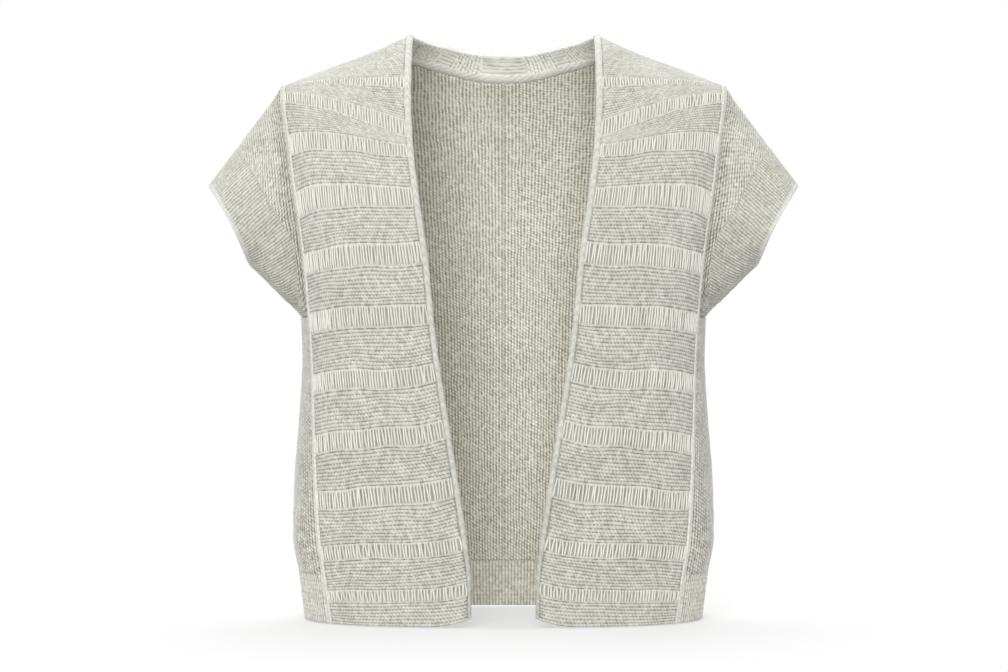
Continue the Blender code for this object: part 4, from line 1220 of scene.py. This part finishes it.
angle, neck_band_number, neck_share = neck_places()
room = CHAIN_ACROSS + SEAM - TUCK
low = NECK_SEAM[0] - room, NECK_SEAM[1] - room / NECK_STEEP
neck_rows = 2 * NECK_STITCHES + 1
sizes = [[a + s * (b - a) for a, b in zip(NECKLINE, low)] for s in np.linspace(0, 1, neck_rows)]
half = np.array([plan_ring(size, angle) for size in sizes])
neck_ridges = np.array([band[0] for band in NECK_BANDS])[neck_band_number]
neck_row = np.arange(neck_rows)[:, None]
neck_phase = neck_ridges * neck_share
neck_wave = RIDGE_WAVE[np.round(neck_phase * RIDGE_ROWS).astype(int) % RIDGE_ROWS]
neck_heads = (neck_row + np.floor(neck_phase + 0.125).astype(int)) % 2 * neck_wave
strand_wave = np.where(neck_row % 2 == 1, 1.0, 0.0)
garter = RIDGE_LOW + (RIDGE_HIGH - RIDGE_LOW) * neck_wave - HEAD * neck_heads
high = np.where(neck_ridges > 0, garter, NECK_GROUND + NECK_STRAND * strand_wave)
garter = NECK_FOOT + NECK_RIDGE * neck_wave - NECK_GAP * neck_heads
light = np.where(neck_ridges > 0, garter, NECK_BACK + NECK_FRONT * strand_wave)
high[(0, -1), :], light[(0, -1), :] = NECK_EDGE, NECK_EDGE_SHADE
print("half the neck band", half.shape[:2])

# %% The whole neck band
neck_grid = np.concatenate((half[:, :0:-1] * (-1, 1, 1, -1, 1, 1), half), axis=1)
neck_grid = worked_by_hand(neck_grid, 6, 1.0)
high, light = (np.concatenate((a[:, :0:-1], a), axis=1) for a in (high, light))
high = high * (1 + waver(*high.shape, (NECK_STITCHES, 40), 0.5))
light = light + jitter(0.32, light.shape)
light[0] = RIM_SHADE
# Painted light: the inside of the neck band is paler than its outside.
knit = stacked(np.arange(neck_grid.shape[1]) / RIDGE_ROWS, neck_row / 2, light - NECK_INSIDE_PAINTED_LIGHT)
outer = high * np.minimum(1, neck_row / 6)
neck = shell("neck_strip", neck_grid, outer, knit, neck_painted_light_yarn, inner=-high, inner_painted_light=NECK_INSIDE_PAINTED_LIGHT)
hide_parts("neck_band")
ridge_size = NECK_SEAM[0] - RIDGE_UP * 1.5, NECK_SEAM[1] - RIDGE_UP
ring = along_cord(plan_ring(ridge_size, np.linspace(np.pi, 0, 400)), 0.0013)
neck_chain = tube("neck_chain", ring, NECK_WIDE, CHAIN_OUT, 24, plies)
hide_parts("neck_seam")
print("neck band", neck_grid.shape[:2])

# %% [markdown]
# ## Areas of the cloth
# The area of each piece of cloth, as it lies on the form, is printed below, halfway through its thickness.


def cloth_area(grid, ring=False):
    """Area of a grid of cloth, halfway through its thickness."""
    points = grid[..., :3] - grid[..., 3:] * WALL / 2
    if ring:
        points = np.concatenate((points, points[:, :1]), axis=1)
    across, up = np.diff(points, axis=1)[:-1], np.diff(points, axis=0)[:, :-1]
    return float(np.linalg.norm(np.cross(across, up), axis=-1).sum())


print("areas", {name: round(cloth_area(grid), 4) for name, grid in (
    ("strip", strip_grid), ("side", side_grid), ("side rib", hem_grid), ("half back", back_grid),
    ("back rib", back_hem_grid), ("cap", cap_grid), ("cuff", cuff_grid), ("neck", neck_grid),
)})

# %% [markdown]
# ## Floor and light
# The garment stands just clear of a white floor that runs into a white background, as a studio cut-out
# does. The floor gives off some light of its own, so that it is as white as the background away from the
# hem. Large area lamps would be softboxes in a studio: a high and a low one in front show the stitches and
# light the inside, and weaker ones behind, above and at the sides leave only a faint shade under the hem.

# %% Floor
FLOOR = HEM - 0.0015
FLOOR_SIDE, FLOOR_BACK = 0.42, 0.30
FLOOR_GREY, FLOOR_GLOW = 0.37, 0.54
corners = [(-1, -FLOOR_SIDE), (1, -FLOOR_SIDE), (1, FLOOR_BACK), (-1, FLOOR_BACK)]
floor_mesh = bpy.data.meshes.new("floor")
floor_mesh.from_pydata([(x * FLOOR_SIDE, y, FLOOR) for x, y in corners], [], [(0, 1, 2, 3)])
floor = add_object("floor", floor_mesh)
floor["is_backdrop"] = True
paper = bpy.data.materials.new("lit white table")
paper.use_nodes = True
set_inputs(paper.node_tree.nodes["Principled BSDF"], {
    "Base Color": (FLOOR_GREY, FLOOR_GREY, FLOOR_GREY, 1),
    "Roughness": 1.0,
    "Specular IOR Level": 0.0,
    "Emission Color": (1, 1, 1, 1),
    "Emission Strength": FLOOR_GLOW,
})
floor_mesh.materials.append(paper)
print("floor at", FLOOR)

# %% Light
ROOM_LIGHT = 0.32
AIM = Vector((0, 0, -0.3))
LAMPS = (  # place, size in metres, power in watts
    ("front high", (-0.35, -3.0, 1.5), 1.8, 84),
    ("front low", (-0.3, -7.0, -1.2), 2.5, 164),
    ("behind", (0.5, 4.0, 0.3), 2.0, 55),
    ("left", (-3.5, 0, 0.6), 1.6, 37),
    ("right", (3.5, 0, 0.6), 1.6, 36),
    ("top", (0, 1.3, 2.1), 2.0, 55),
)
world = bpy.data.worlds.new("studio")
world.use_nodes = True
tree = world.node_tree
room_light = tree.nodes["Background"]
set_inputs(room_light, {"Color": (1, 1, 1, 1), "Strength": ROOM_LIGHT})
seen = node(tree, "ShaderNodeBackground", {}, {"Color": (1, 1, 1, 1), "Strength": 1.0})
path = node(tree, "ShaderNodeLightPath", output="Is Camera Ray")
both = node(tree, "ShaderNodeMixShader", {}, {0: path, 1: Wire(tree, room_light.outputs[0]), 2: seen})
tree.links.new(both.socket, tree.nodes["World Output"].inputs["Surface"])
bpy.context.scene.world = world
for name, place, size, power in LAMPS:
    lamp = bpy.data.lights.new(name, "AREA")
    lamp.size = size
    lamp.energy = power
    light = add_object(name, lamp)
    light.location = place
    light.visible_camera = False
    light.rotation_euler = (AIM - Vector(place)).to_track_quat("-Z", "Y").to_euler()
print(len(LAMPS), "lamps")

# %% Bounds of the CAD parts and of the scene
size = {"cad": cad_box, "visual": [list(corner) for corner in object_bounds()]}
print(size)
